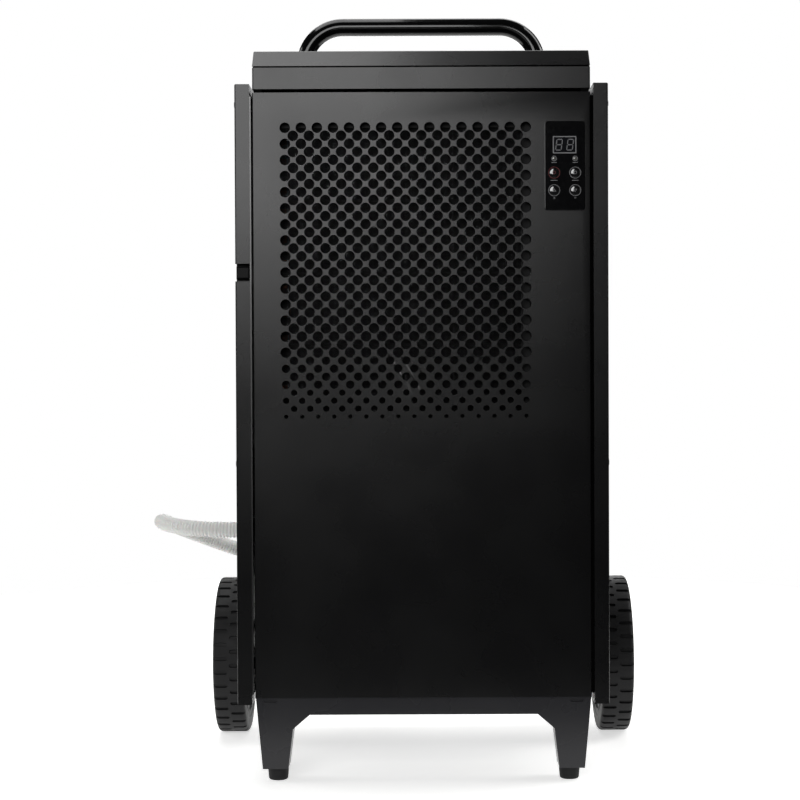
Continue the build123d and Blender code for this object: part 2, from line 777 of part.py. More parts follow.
def control_board():
    """Circuit board with the display module and four switches."""
    size = bezel_width - 2 * bezel_body_inset, bezel_height - 2 * bezel_body_inset
    board = slab(Pos(bezel_x, bezel_z) * Rectangle(*size), board_y, board_y + board_thickness)
    module = Pos(bezel_x, window_z) * Rectangle(window_width - 1.0, window_height - 1.0)
    board = board + slab(module, panel_y, board_y)
    for x in column_x:
        for drop in button_drops:
            switch = Pos(x, bezel_top_z - drop) * Rectangle(6.0, 6.0)
            board = board + slab(switch, board_y - switch_height, board_y)
    return board


# ---- air filter ----
def filter_frame():
    """Moulded frame with a rib grid, and a grip on its left end."""
    x0, x1, z0, z1 = filter_left_x, filter_right_x, filter_bottom_z, filter_top_z
    y0, y1 = filter_y, filter_y + filter_thickness
    frame = box(x0, x1, y0, y1, z0, z1)
    bar = filter_bar
    left_bar = x0 + filter_left_bar
    frame = frame - box(left_bar, x1 - bar, y0 - 1, y1 + 1, z0 + bar, z1 - bar)
    rib_y = y0 + filter_thickness / 2 + filter_mesh_thickness / 2
    for index in range(1, filter_cells):
        x = left_bar + (x1 - bar - left_bar) * index / filter_cells
        z = z0 + bar + (z1 - z0 - 2 * bar) * index / filter_cells
        frame = frame + box(x - filter_rib / 2, x + filter_rib / 2, rib_y, y1, z0 + bar, z1 - bar)
        frame = frame + box(left_bar, x1 - bar, rib_y, y1, z - filter_rib / 2, z + filter_rib / 2)
    half_grip = grip_height / 2
    grip = box(x0, -cover_inner_x - 1, y0 - grip_reach, y0, notch_z - half_grip, notch_z + half_grip)
    grip = fillet(grip.faces().sort_by(Axis.Y)[0].edges(), 2.5)
    return frame + grip


def filter_mesh():
    """Woven dust screen, held in front of the ribs."""
    x0, x1 = filter_left_x + filter_left_bar, filter_right_x - filter_bar
    z0, z1 = filter_bottom_z + filter_bar, filter_top_z - filter_bar
    middle, half = filter_y + filter_thickness / 2, filter_mesh_thickness / 2
    return box(x0, x1, middle - half, middle + half, z0, z1)


def filter_guides():
    """Channels on the back of the front panel that the filter slides in."""
    x0, x1 = -post_x + post_front_leg + slip, filter_right_x + 6.0
    front_lip_y, rear_lip_y = filter_y - slip, filter_y + filter_thickness + slip
    guides = []
    for end, toward in ((filter_top_z + slip, 1), (filter_bottom_z - slip, -1)):
        far = end + toward * sheet
        lip = end - toward * 6.0
        web = box(x0, x1, post_front_y, slot_rear_y + sheet, *sorted((end, far)))
        front_lip = box(x0, x1, front_lip_y - sheet, front_lip_y, *sorted((lip, far)))
        rear_lip = box(x0, x1, rear_lip_y, rear_lip_y + sheet, *sorted((lip, far)))
        guides.append(web + front_lip + rear_lip)
    return guides


# ---- heat exchangers and air path ----
def coil_heights():
    pitch = (coil_top_z - coil_bottom_z) / coil_passes
    return [coil_bottom_z + pitch * (index + 0.5) for index in range(coil_passes)]


def coil_fins(y0, depth):
    """Aluminium fins and the two thicker end plates that stand on the drip tray."""
    middle = y0 + depth / 2
    fins = []
    for index in range(fin_count):
        at_end = index in (0, fin_count - 1)
        thickness = sheet if at_end else fin_thickness
        x = coil_left_x + (coil_right_x - coil_left_x) * index / (fin_count - 1)
        z0 = deck_top_z + tray_wall if at_end else coil_bottom_z
        corners = ((y0, z0), (y0 + depth, z0), (y0 + depth, coil_top_z), (y0, coil_top_z))
        outline = Wire.make_polygon([(x, y, z) for y, z in corners])
        across = [Plane(origin=(x, middle, z), z_dir=(1, 0, 0)) for z in coil_heights()]
        holes = [Wire.make_circle(coil_tube_radius + running_gap, plane) for plane in across]
        fins.append(Solid.extrude(Face(outline, holes), Vector(thickness, 0, 0)))
    return fins


def coil_tube(y0, depth):
    """Serpentine tube: straight passes joined by return bends."""
    middle = y0 + depth / 2
    heights = coil_heights()
    left, right = coil_left_x - 4.0, coil_right_x + 6.0
    tube = None
    for index, z in enumerate(heights):
        first = right + 14.0 if index in (0, coil_passes - 1) else right
        run = rod((left, middle, z), (first, middle, z), coil_tube_radius)
        tube = run if tube is None else tube + run
    for index in range(coil_passes - 1):
        low, high = heights[index], heights[index + 1]
        x = left if index % 2 == 0 else right
        section = Pos(x, middle, low) * Rot(0, 90, 0) * Circle(coil_tube_radius)
        turn = 180 if index % 2 == 0 else -180
        bend_axis = Axis((x, middle, (low + high) / 2), (0, 1, 0))
        tube = tube + revolve(section, bend_axis, turn)
    return tube


def drip_tray():
    """Catches the water under both heat exchangers; its spout passes through the deck."""
    x0, x1 = coil_left_x - 22.0, coil_right_x + 26.0
    y0, y1 = evaporator_y - 4.0, condenser_y + condenser_depth + 4.0
    z0, z1 = deck_top_z, deck_top_z + tray_height
    tray = box(x0, x1, y0, y1, z0, z1)
    tray = tray - box(x0 + tray_wall, x1 - tray_wall, y0 + tray_wall, y1 - tray_wall, z0 + tray_wall, z1 + 1)
    x, y = drip_outlet
    spout_z = deck_z - tray_spout
    tray = tray + rod((x, y, spout_z), (x, y, z0 + tray_wall), drain_tube_radius)
    return tray - rod((x, y, spout_z - 1), (x, y, z0 + tray_wall + 1), drain_tube_bore)


def fan_shroud():
    """Baffle plate across the machine with a round orifice ring."""
    ring_inner = fan_radius + fan_tip_gap
    plate = box(-post_x, post_x, shroud_y, shroud_y + heavy_sheet, deck_top_z, post_top_z)
    centre0, centre1 = (0, shroud_y, fan_z), (0, shroud_y + fan_ring_depth, fan_z)
    plate = plate + rod(centre0, centre1, ring_inner + heavy_sheet)
    return plate - rod((0, shroud_y - 1, fan_z), (0, shroud_y + fan_ring_depth + 1, fan_z), ring_inner)


def motor_bracket():
    """Four-armed spider in front of the orifice that carries the motor."""
    y0, y1 = shroud_y - heavy_sheet, shroud_y
    reach = fan_radius + fan_tip_gap + 18.0
    spider = rod((0, y0, fan_z), (0, y1, fan_z), motor_radius + 4.0)
    for angle in (45, 135):
        arm = Pos(0, (y0 + y1) / 2, fan_z) * Rot(0, angle, 0) * Box(2 * reach, y1 - y0, 22.0)
        spider = spider + arm
    return spider - rod((0, y0 - 1, fan_z), (0, y1 + 1, fan_z), shaft_radius + 2.0)


def fan_motor():
    """Closed motor can with a bore for its shaft."""
    can = rod((0, motor_rear_y - motor_length, fan_z), (0, motor_rear_y, fan_z), motor_radius)
    can = fillet(can.edges().sort_by(Axis.Y)[0], 6.0)
    bore_start = motor_rear_y - motor_length + motor_end_wall
    return can - rod((0, bore_start, fan_z), (0, motor_rear_y + 1, fan_z), shaft_radius + running_gap)


def fan_shaft():
    start = motor_rear_y - motor_length + motor_end_wall + 0.5
    return rod((0, start, fan_z), (0, fan_rear_y, fan_z), shaft_radius)


def fan_impeller():
    """Axial impeller: hub and pitched blades."""
    middle = (fan_front_y + fan_rear_y) / 2
    hub = rod((0, fan_front_y, fan_z), (0, fan_rear_y, fan_z), fan_hub_radius)
    chord = (fan_rear_y - fan_front_y - 3.0) / math.sin(math.radians(fan_pitch_angle))
    length = fan_radius - fan_hub_radius + 6.0
    blade_x = fan_hub_radius - 6.0 + length / 2
    blade = Pos(blade_x, 0, 0) * Rot(fan_pitch_angle, 0, 0) * Box(length, 2.5, chord)
    trim = rod((0, fan_front_y - 5, fan_z), (0, fan_rear_y + 5, fan_z), fan_radius)
    impeller = hub
    for index in range(fan_blades):
        placed = Pos(0, middle, fan_z) * Rot(0, 360.0 * index / fan_blades, 0) * blade
        impeller = impeller + (placed & trim)
    return impeller - rod((0, fan_front_y - 1, fan_z), (0, fan_rear_y + 1, fan_z), shaft_radius + running_gap)


# ---- cooling circuit ----
def compressor():
    """Hermetic can with a three-eared foot plate, a pipe stub and a strap for the accumulator."""
    x, y = compressor_x, compressor_y
    can = rod((x, y, compressor_floor_z + 2.0), (x, y, compressor_top_z), compressor_radius)
    can = fillet(can.edges().filter_by(GeomType.CIRCLE), can_round)
    plate_place = Pos(x, y, compressor_floor_z + foot_plate / 2)
    plate = plate_place * Cylinder(compressor_radius - 6.0, foot_plate)
    ear = Pos(mount_reach / 2, 0, 0) * Box(mount_reach, 30.0, foot_plate)
    ear = ear + Pos(mount_reach, 0, 0) * Cylinder(15.0, foot_plate)
    for index in range(3):
        plate = plate + plate_place * Rot(0, 0, 60 + 120 * index) * ear
    strap_x, strap_z = accumulator_x + accumulator_radius + slip, accumulator_bottom_z + 60
    strap = box(strap_x, x - compressor_radius + 2, y - 6, y + 6, strap_z, strap_z + 20)
    stub = rod((x, y, compressor_top_z - 2), (x, y, compressor_top_z + 6), pipe_radius + 1.5)
    return can + plate + strap + stub


def compressor_mounts():
    """Rubber grommets under the foot plate."""
    mounts = []
    for index in range(3):
        angle = math.radians(60 + 120 * index)
        x = compressor_x + mount_reach * math.cos(angle)
        y = compressor_y + mount_reach * math.sin(angle)
        mount = rod((x, y, pan_top_z), (x, y, compressor_floor_z), 12.0)
        mounts.append(fillet(mount.edges().filter_by(GeomType.CIRCLE), 2.0))
    return mounts


def accumulator():
    x, y = accumulator_x, compressor_y
    can = rod((x, y, accumulator_bottom_z), (x, y, accumulator_top_z), accumulator_radius)
    return fillet(can.edges().filter_by(GeomType.CIRCLE), 12.0)


def refrigerant_pipes():
    """Discharge line, suction line, and the liquid line with its drier."""
    coil_end_x = coil_right_x + 6.0 + 14.0
    heights = coil_heights()
    riser_x = coil_end_x + 22.0
    condenser_mid = condenser_y + condenser_depth / 2
    evaporator_mid = evaporator_y + evaporator_depth / 2
    low_z = deck_top_z + tray_height + 30.0
    discharge, _ = bent_tube(
        [(compressor_x, compressor_y, compressor_top_z + 6.0), (compressor_x, compressor_y, low_z),
         (riser_x, compressor_y, low_z), (riser_x, compressor_y, heights[-1]),
         (riser_x, condenser_mid, heights[-1]), (coil_end_x, condenser_mid, heights[-1])],
        [pipe_bend, pipe_bend, pipe_bend, small_bend], pipe_radius,
    )
    suction_x, suction_y, suction_z = riser_x + 16.0, compressor_y + 40.0, low_z + 16.0
    over_z = heights[-1] + 24.0
    suction, _ = bent_tube(
        [(accumulator_x, compressor_y, accumulator_top_z), (accumulator_x, compressor_y, suction_z),
         (accumulator_x, suction_y, suction_z), (suction_x, suction_y, suction_z),
         (suction_x, suction_y, over_z), (suction_x, evaporator_mid, over_z),
         (suction_x, evaporator_mid, heights[-1]), (coil_end_x, evaporator_mid, heights[-1])],
        [pipe_bend, pipe_bend, pipe_bend, pipe_bend, 11.0, 11.0], pipe_radius,
    )
    drier_x, drier_y = liquid_line_place
    drier_z0, drier_z1 = [pan_top_z + rise for rise in drier_rise]
    drier = rod((drier_x, drier_y, drier_z0), (drier_x, drier_y, drier_z1), drier_radius)
    drier = fillet(drier.edges().filter_by(GeomType.CIRCLE), 5.0)
    liquid, _ = bent_tube(
        [(drier_x, drier_y, drier_z1), (drier_x, drier_y, heights[0]),
         (drier_x, condenser_mid, heights[0]), (coil_end_x, condenser_mid, heights[0])],
        [pipe_bend, small_bend], pipe_radius,
    )
    loop_z = drier_z0 - 25.0
    capillary, _ = bent_tube(
        [(drier_x, drier_y, drier_z0), (drier_x, drier_y, loop_z), (drier_x, evaporator_mid, loop_z),
         (drier_x, evaporator_mid, heights[0]), (coil_end_x, evaporator_mid, heights[0])],
        [small_bend, small_bend, small_bend], capillary_radius,
    )
    return [discharge, suction, drier, liquid, capillary]


# ---- drain ----
def drain_tube():
    """From the drip tray's spout down and across to the spigot."""
    x, y = drip_outlet
    points = [
        (x, y, deck_z - tray_spout), (x, y, spigot_z),
        (x, spigot_y, spigot_z), (spigot_inner_x, spigot_y, spigot_z),
    ]
    tube, _ = bent_tube(points, [drain_bend, drain_bend], drain_tube_radius, drain_tube_bore)
    return tube


def drain_spigot():
    """Bulkhead fitting through the left side cover."""
    y, z = spigot_y, spigot_z
    wall_x = -half_width
    fitting = rod((hose_start_x, y, z), (wall_x, y, z), hose_diameter / 2 + 2.5)
    fitting = fitting + rod((wall_x - 4.0, y, z), (wall_x, y, z), hose_diameter / 2 + 7.0)
    fitting = fitting + rod((wall_x, y, z), (spigot_inner_x, y, z), spigot_hole_radius - 0.1)
    fitting = fitting + rod((wall_x + sheet, y, z), (wall_x + sheet + 4.0, y, z), spigot_hole_radius + 4.0)
    return fitting - rod((hose_start_x - 1, y, z), (spigot_inner_x + 1, y, z), drain_tube_bore)


# The hose's route: out of the spigot to the left, round behind the machine and down to the floor.
hose_route = [
    (hose_start_x, spigot_y, spigot_z),
    (hose_start_x - 57.0, spigot_y, spigot_z),
    (hose_start_x - 110.0, spigot_y + 38.0, spigot_z + 4.0),
    (hose_start_x - 130.0, rear_y - 68.0, spigot_z + 6.0),
    (hose_start_x - 110.0, rear_y - 6.0, spigot_z - 10.0),
    (hose_start_x - 57.0, rear_y + 32.0, spigot_z - 36.0),
    (hose_start_x + 4.0, rear_y + 37.0, spigot_z - 56.0),
    (-184.0, rear_y + 39.0, spigot_z - 84.0),
    (-140.0, rear_y + 47.0, 172.0),
    (-108.0, rear_y + 62.0, 120.0),
    (-80.0, rear_y + 80.0, 72.0),
    (-46.0, rear_y + 96.0, 34.0),
    (-4.0, coil_centre[1] - coil_first_radius, hose_floor_z),
    (coil_centre_x, coil_centre[1] - coil_first_radius, hose_floor_z),
]


def drain_hose():
    radii = corner_radii(hose_route)
    tube, path = bent_tube(hose_route, radii, hose_diameter / 2)
    section = math.pi * hose_diameter ** 2 / 4
    print("hose length", round(path.length, 1))
    print("hose volume over section x length", round(tube.volume / section / path.length, 5))
    print("hose corner radii", [round(radius) for radius in radii])
    print("smallest corner radius in diameters", round(min(radii) / hose_diameter, 2))
    return tube


def coil_outline(radius):
    """Closed outline of two half circles, the second one smaller by half a hose; the step is at its start."""
    x, y = coil_centre
    shift = hose_diameter / 2
    first = CenterArc((x, y), radius, -90, 180)
    second = CenterArc((x, y + shift), radius - shift, 90, 180)
    return Wire([*first.edges(), *second.edges(), *Line(second @ 1, first @ 0).edges()])


def hose_coil():
    """Outer shape of the put-away turns on the floor; its flat step meets the end of the hose."""
    outer = coil_first_radius + hose_diameter / 2
    ring = Face(coil_outline(outer), [coil_outline(outer - coil_turns * hose_diameter)])
    return Solid.extrude(Pos(0, 0, hose_floor_z - hose_diameter / 2) * ring, Vector(0, 0, hose_diameter))


def hose_ties():
    """Two bands round the coil's turns; the coil lies on them."""
    x, y = coil_centre
    ties = []
    for angle, shift in ((20, 0.0), (160, hose_diameter / 2)):
        outer = coil_first_radius + hose_diameter / 2 - shift + tie_clearance
        inner = outer - coil_turns * hose_diameter - 2 * tie_clearance
        z0, z1 = tie_thickness, hose_floor_z + hose_diameter / 2 + tie_clearance
        wall = tie_thickness
        band = box(inner - wall, outer + wall, -tie_width / 2, tie_width / 2, z0 - wall, z1 + wall)
        band = band - box(inner, outer, -tie_width, tie_width, z0, z1)
        ties.append(Pos(x, y + shift, 0) * Rot(0, 0, angle) * band)
    return ties


# ---- electrics and fasteners ----
def electrics_box():
    """Closed box for the terminals and relay board, on the pan floor."""
    x0, x1 = box_left_x, box_left_x + box_width
    y0 = post_front_y + box_setback
    y1 = y0 + box_depth
    z0, z1 = pan_top_z, pan_top_z + box_height
    wall = box_wall
    case = fillet(box(x0, x1, y0, y1, z0, z1).edges().filter_by(Axis.Z), 4.0)
    case = case - box(x0 + wall, x1 - wall, y0 + wall, y1 - wall, z0 + wall, z1 - wall)
    cable_x, cable_y = (x0 + x1) / 2, (y0 + y1) / 2
    return case - rod((cable_x, cable_y, z1 - wall - 1), (cable_x, cable_y, z1 + 1), cable_hole_radius)


def run_capacitor():
    x, y = capacitor_x, post_front_y + capacitor_setback
    can = rod((x, y, pan_top_z), (x, y, pan_top_z + capacitor_height), capacitor_radius)
    return fillet(can.edges().sort_by(Axis.Z)[-1], 3.0)


def mains_gland():
    """Cable gland in the rear panel; the lead itself is left out."""
    x, z = gland_x, gland_z
    nut_y, end_y, inner_y = rear_y + gland_nut_depth, rear_y + gland_reach, rear_y - 12.0
    outer_nut = slab(Pos(x, z) * RegularPolygon(gland_nut_radius, 6), rear_y, nut_y)
    dome = fillet(rod((x, nut_y, z), (x, end_y, z), gland_dome_radius).edges().sort_by(Axis.Y)[-1], 4.0)
    thread = rod((x, inner_y, z), (x, rear_y, z), gland_thread_radius)
    lock_outline = Pos(x, z) * RegularPolygon(gland_nut_radius - 1.0, 6)
    gland = outer_nut + dome + thread + slab(lock_outline, rear_y - sheet - 5.0, rear_y - sheet)
    return gland - rod((x, inner_y - 1, z), (x, end_y + 1, z), gland_bore_radius)


def screw(start, direction, length):
    """Pan-head screw; start is on the surface under its head, direction points out of the head."""
    out = Vector(*direction)
    base = Vector(*start)
    head = rod(base, base + out * screw_head_height, screw_head_radius)
    far = head.faces().sort_by_distance(base + out * (screw_head_height + 5))[0]
    head = fillet(far.edges(), 0.9)
    return head + rod(base - out * length, base, screw_radius)


def panel_screws():
    screws = []
    for y, z in cover_screw_places:
        for side in (-1, 1):
            screws.append(screw((side * half_width, y, z), (side, 0, 0), sheet * 2 + 3.0))
    for x, z in rear_screw_places:
        screws.append(screw((x, rear_y, z), (0, 1, 0), sheet))
    for x, z in clamp_screw_places:
        screws.append(screw((x, rear_y + heavy_sheet, z), (0, 1, 0), heavy_sheet + sheet))
    return screws


# ---- all nodes ----
nodes = {
    "base_pan": base_pan,
    "leg_frame": leg_frame,
    "feet": feet,
    "axle_brackets": axle_brackets,
    "axle": axle,
    "axle_hardware": axle_hardware,
    "tyre_left": lambda: mirror_x(tyre()),
    "tyre_right": tyre,
    "wheel_left": lambda: mirror_x(wheel()),
    "wheel_right": wheel,
    "wheel_cap_left": lambda: mirror_x(wheel_cap()),
    "wheel_cap_right": wheel_cap,
    "front_posts": lambda: corner_posts(True),
    "rear_posts": lambda: corner_posts(False),
    "top_frame": top_frame,
    "deck": deck,
    "cover_brackets": cover_brackets,
    "side_cover_left": lambda: side_cover(True),
    "side_cover_right": lambda: side_cover(False),
    "front_panel": front_panel,
    "header_rail": header_rail,
    "top_cover": top_cover,
    "rear_panel": rear_panel,
    "handle_tube": handle_tube,
    "handle_plugs": handle_plugs,
    "handle_clamps": handle_clamps,
    "control_bezel": control_bezel,
    "display_window": display_window,
    "led_lenses": led_lenses,
    "button_power": lambda: button(0, button_drops[0]),
    "button_timer": lambda: button(1, button_drops[0]),
    "button_up": lambda: button(0, button_drops[1]),
    "button_down": lambda: button(1, button_drops[1]),
    "control_board": control_board,
    "filter_frame": filter_frame,
    "filter_mesh": filter_mesh,
    "filter_guides": filter_guides,
    "evaporator_fins": lambda: coil_fins(evaporator_y, evaporator_depth),
    "evaporator_tube": lambda: coil_tube(evaporator_y, evaporator_depth),
    "condenser_fins": lambda: coil_fins(condenser_y, condenser_depth),
    "condenser_tube": lambda: coil_tube(condenser_y, condenser_depth),
    "drip_tray": drip_tray,
    "fan_shroud": fan_shroud,
    "motor_bracket": motor_bracket,
    "fan_motor": fan_motor,
    "fan_shaft": fan_shaft,
    "fan_impeller": fan_impeller,
    "compressor": compressor,
    "compressor_mounts": compressor_mounts,
    "accumulator": accumulator,
    "refrigerant_pipes": refrigerant_pipes,
    "drain_tube": drain_tube,
    "drain_spigot": drain_spigot,
    "drain_hose": drain_hose,
    "hose_coil": hose_coil,
    "hose_ties": hose_ties,
    "electrics_box": electrics_box,
    "run_capacitor": run_capacitor,
    "mains_gland": mains_gland,
    "panel_screws": panel_screws,
}

os.makedirs("parts", exist_ok=True)
for name, make in nodes.items():
    made = make()
    shape = Compound(children=made) if isinstance(made, list) else made
    shape.label = name
    export_step(shape, f"parts/{name}.step")
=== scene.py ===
import json
import math

import bmesh
import bpy
from mathutils import Matrix, Vector


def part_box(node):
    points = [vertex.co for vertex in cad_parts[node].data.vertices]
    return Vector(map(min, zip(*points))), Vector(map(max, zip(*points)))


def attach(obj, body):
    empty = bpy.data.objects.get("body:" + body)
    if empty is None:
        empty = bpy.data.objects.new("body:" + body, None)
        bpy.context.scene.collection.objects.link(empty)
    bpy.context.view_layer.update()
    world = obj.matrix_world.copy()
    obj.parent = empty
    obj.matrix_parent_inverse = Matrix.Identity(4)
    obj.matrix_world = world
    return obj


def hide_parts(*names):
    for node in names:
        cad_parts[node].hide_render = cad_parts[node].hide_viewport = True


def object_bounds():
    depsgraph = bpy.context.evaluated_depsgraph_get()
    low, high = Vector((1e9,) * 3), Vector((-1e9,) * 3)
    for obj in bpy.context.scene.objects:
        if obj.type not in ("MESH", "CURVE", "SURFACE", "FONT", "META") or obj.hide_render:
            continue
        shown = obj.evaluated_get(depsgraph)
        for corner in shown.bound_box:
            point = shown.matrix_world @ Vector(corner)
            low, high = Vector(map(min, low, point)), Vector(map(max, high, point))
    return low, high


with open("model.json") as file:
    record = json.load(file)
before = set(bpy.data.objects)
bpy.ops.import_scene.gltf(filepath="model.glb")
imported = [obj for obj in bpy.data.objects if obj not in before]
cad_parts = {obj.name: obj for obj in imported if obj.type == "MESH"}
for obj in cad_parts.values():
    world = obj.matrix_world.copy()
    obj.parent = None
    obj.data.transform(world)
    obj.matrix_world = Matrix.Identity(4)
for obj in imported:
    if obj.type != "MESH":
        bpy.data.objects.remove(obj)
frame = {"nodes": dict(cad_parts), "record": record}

cad_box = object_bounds()
MM = 0.001
BLACK = "powder_coat_black"


# ---------------------------------------------------------------- colours and materials
def colour(text):
    """An sRGB hex colour as the linear colour that shaders use."""
    channels = [int(text[i:i + 2], 16) / 255 for i in (1, 3, 5)]
    linear = [c / 12.92 if c <= 0.04045 else ((c + 0.055) / 1.055) ** 2.4 for c in channels]
    return (*linear, 1.0)


def add(tree, kind, settings=None, inputs=None, **links):
    """One node with its settings, its socket values and the sockets that feed it."""
    node = tree.nodes.new(kind)
    for name, value in (settings or {}).items():
        setattr(node, name, value)
    for name, value in (inputs or {}).items():
        node.inputs[name].default_value = value
    for name, source in links.items():
        tree.links.new(source, node.inputs[name.replace("_", " ")])
    return node


def new_material(name, base, roughness, metallic=0.0, **sockets):
    """A principled material whose constants sit on the shader's own sockets."""
    material = bpy.data.materials.new(name)
    material.use_nodes = True
    shader = material.node_tree.nodes["Principled BSDF"]
    shader.inputs["Base Color"].default_value = colour(base)
    shader.inputs["Roughness"].default_value = roughness
    shader.inputs["Metallic"].default_value = metallic
    for socket, value in sockets.items():
        shader.inputs[socket.replace("_", " ")].default_value = value
    return material, material.node_tree, shader


def grain(tree, scale, detail=2.0):
    """Noise in real size: scale is in cells per metre."""
    place = add(tree, "ShaderNodeTexCoord")
    return add(tree, "ShaderNodeTexNoise", inputs={"Scale": scale, "Detail": detail},
               Vector=place.outputs["Object"])


def bump(tree, shader, height, distance, strength=1.0):
    node = add(tree, "ShaderNodeBump", inputs={"Distance": distance, "Strength": strength}, Height=height)
    tree.links.new(node.outputs["Normal"], shader.inputs["Normal"])


def vary(tree, source, low, high, target):
    """Maps a noise onto a small range of values for one socket."""
    limits = {"To Min": low, "To Max": high, "From Min": 0.3, "From Max": 0.7}
    spread = add(tree, "ShaderNodeMapRange", inputs=limits, Value=source)
    tree.links.new(spread.outputs["Result"], target)


def vary_colour(tree, source, first, second, target):
    mix = add(tree, "ShaderNodeMix", {"data_type": "RGBA"}, {"A": colour(first), "B": colour(second)},
              Factor=source)
    for socket in mix.inputs:
        if socket.type == "RGBA" and socket.name in "AB":
            socket.default_value = colour(first if socket.name == "A" else second)
    tree.links.new([s for s in mix.outputs if s.type == "RGBA"][0], target)


def powder_coat(name="powder_coat_black", base="#070708"):
    """Satin black polyester powder coat: a fine orange peel that breaks up a soft light's reflections."""
    material, tree, shader = new_material(name, base, 0.27, Specular_IOR_Level=0.42)
    peel = grain(tree, 900.0)                       # about 1 mm cells, as orange peel has
    bump(tree, shader, peel.outputs["Fac"], 0.00003)
    cloud = grain(tree, 9.0, 4.0)                   # slow change over the sheet, like handling film
    vary(tree, cloud.outputs["Fac"], 0.25, 0.30, shader.inputs["Roughness"])
    return material


def primer():
    """Matt black dip primer on the inner steel: hardly any gloss, so the panels' joints stay dark."""
    material, tree, shader = new_material("dip_primer_black", "#050505", 0.8, Specular_IOR_Level=0.08)
    vary(tree, grain(tree, 60.0, 4.0).outputs["Fac"], 0.72, 0.88, shader.inputs["Roughness"])
    return material


def painted_shade_material():
    """Painted shade: dull black with a fine bumpy texture, standing in for the shade in the lid's seam and
    the right joint.
    """
    material, tree, shader = new_material("painted_shade_black", "#020202", 0.95, Specular_IOR_Level=0.05)
    bump(tree, shader, grain(tree, 1400.0).outputs["Fac"], 0.00005)
    return material


def enamel():
    """Gloss black stoving enamel on tube: sharp, thin highlights."""
    material, tree, shader = new_material(
        "enamel_gloss_black", "#070708", 0.12, Specular_IOR_Level=0.3, Coat_Weight=0.25, Coat_Roughness=0.05)
    bump(tree, shader, grain(tree, 300.0).outputs["Fac"], 0.00001)
    return material


def zinc():
    """Bright zinc plate on steel: pale, slightly cloudy and brushed by its spangle."""
    material, tree, shader = new_material("zinc_plate", "#b9bcc0", 0.35, 1.0)
    cloud = grain(tree, 120.0, 5.0)
    vary(tree, cloud.outputs["Fac"], 0.25, 0.45, shader.inputs["Roughness"])
    vary_colour(tree, cloud.outputs["Fac"], "#a9adb2", "#c6c9cc", shader.inputs["Base Color"])
    return material


def galvanised():
    """Hot-dip galvanised sheet: dull grey metal with crystal spangle."""
    material, tree, shader = new_material("galvanised_sheet", "#8d9195", 0.5, 1.0)
    place = add(tree, "ShaderNodeTexCoord")
    spangle = add(tree, "ShaderNodeTexVoronoi", inputs={"Scale": 130.0}, Vector=place.outputs["Object"])
    vary_colour(tree, spangle.outputs["Distance"], "#7f8387", "#a2a6a9", shader.inputs["Base Color"])
    vary(tree, spangle.outputs["Distance"], 0.38, 0.6, shader.inputs["Roughness"])
    return material


def black_oxide():
    """Blackened screw steel: dark metal with a faint oily sheen."""
    material, tree, shader = new_material("black_oxide_steel", "#26262a", 0.38, 1.0)
    vary(tree, grain(tree, 500.0).outputs["Fac"], 0.3, 0.5, shader.inputs["Roughness"])
    return material


def rubber(name, base, rough, cells):
    """Moulded rubber: matt black, greyed a little by dust and mould bloom."""
    material, tree, shader = new_material(name, base, rough, Specular_IOR_Level=0.25)
    bloom = grain(tree, 45.0, 6.0)
    vary_colour(tree, bloom.outputs["Fac"], base, "#1c1c1d", shader.inputs["Base Color"])
    vary(tree, bloom.outputs["Fac"], rough - 0.08, rough + 0.08, shader.inputs["Roughness"])
    bump(tree, shader, grain(tree, cells).outputs["Fac"], 0.00006)
    return material


def moulded(name, base, second, rough, cells=1500.0, depth=0.00004, **sockets):
    """Moulded plastic with a fine spark-eroded texture."""
    material, tree, shader = new_material(name, base, rough, **sockets)
    vary_colour(tree, grain(tree, 30.0, 4.0).outputs["Fac"], base, second, shader.inputs["Base Color"])
    bump(tree, shader, grain(tree, cells).outputs["Fac"], depth)
    return material


def gloss_abs(name, base, rough=0.08, shine=0.35):
    """Polished ABS: mirror-like with faint moulding waves."""
    material, tree, shader = new_material(
        name, base, rough, Specular_IOR_Level=shine, Coat_Weight=shine / 2, Coat_Roughness=0.04)
    bump(tree, shader, grain(tree, 60.0).outputs["Fac"], 0.000002)
    vary(tree, grain(tree, 200.0, 4.0).outputs["Fac"], rough * 0.8, rough * 1.4, shader.inputs["Roughness"])
    return material


def printed(name, base):
    """Screen-printed ink: flat and slightly matt against the gloss beneath it."""
    material, tree, shader = new_material(name, base, 0.5)
    vary(tree, grain(tree, 2500.0).outputs["Fac"], 0.42, 0.6, shader.inputs["Roughness"])
    return material


def hose_pvc():
    """White plasticised PVC: soft sheen, a little light under the skin, faint yellowish patches."""
    material, tree, shader = new_material(
        "hose_pvc_white", "#ecece9", 0.42, Subsurface_Weight=0.08, Subsurface_Scale=0.003)
    vary_colour(tree, grain(tree, 25.0, 5.0).outputs["Fac"], "#e6e6e2", "#f0f0ee",
                shader.inputs["Base Color"])
    bump(tree, shader, grain(tree, 1200.0).outputs["Fac"], 0.00002)
    return material


def copper():
    """Drawn copper tube, dulled by handling and brazing."""
    material, tree, shader = new_material("copper_tube", "#b4694a", 0.35, 1.0)
    stain = grain(tree, 60.0, 6.0)
    vary_colour(tree, stain.outputs["Fac"], "#9a5236", "#c98563", shader.inputs["Base Color"])
    vary(tree, stain.outputs["Fac"], 0.25, 0.5, shader.inputs["Roughness"])
    return material


def aluminium():
    """Mill-finish aluminium foil fins: bright edges with a rolled grain."""
    material, tree, shader = new_material("fin_aluminium", "#c3c6c9", 0.35, 1.0)
    vary(tree, grain(tree, 400.0, 3.0).outputs["Fac"], 0.28, 0.45, shader.inputs["Roughness"])
    return material


def smoked_window():
    """Smoked acrylic over an unlit display: near black, very glossy."""
    material, tree, shader = new_material(
        "smoked_acrylic", "#15161a", 0.05, Coat_Weight=0.5, Coat_Roughness=0.02)
    bump(tree, shader, grain(tree, 40.0).outputs["Fac"], 0.000005)
    return material


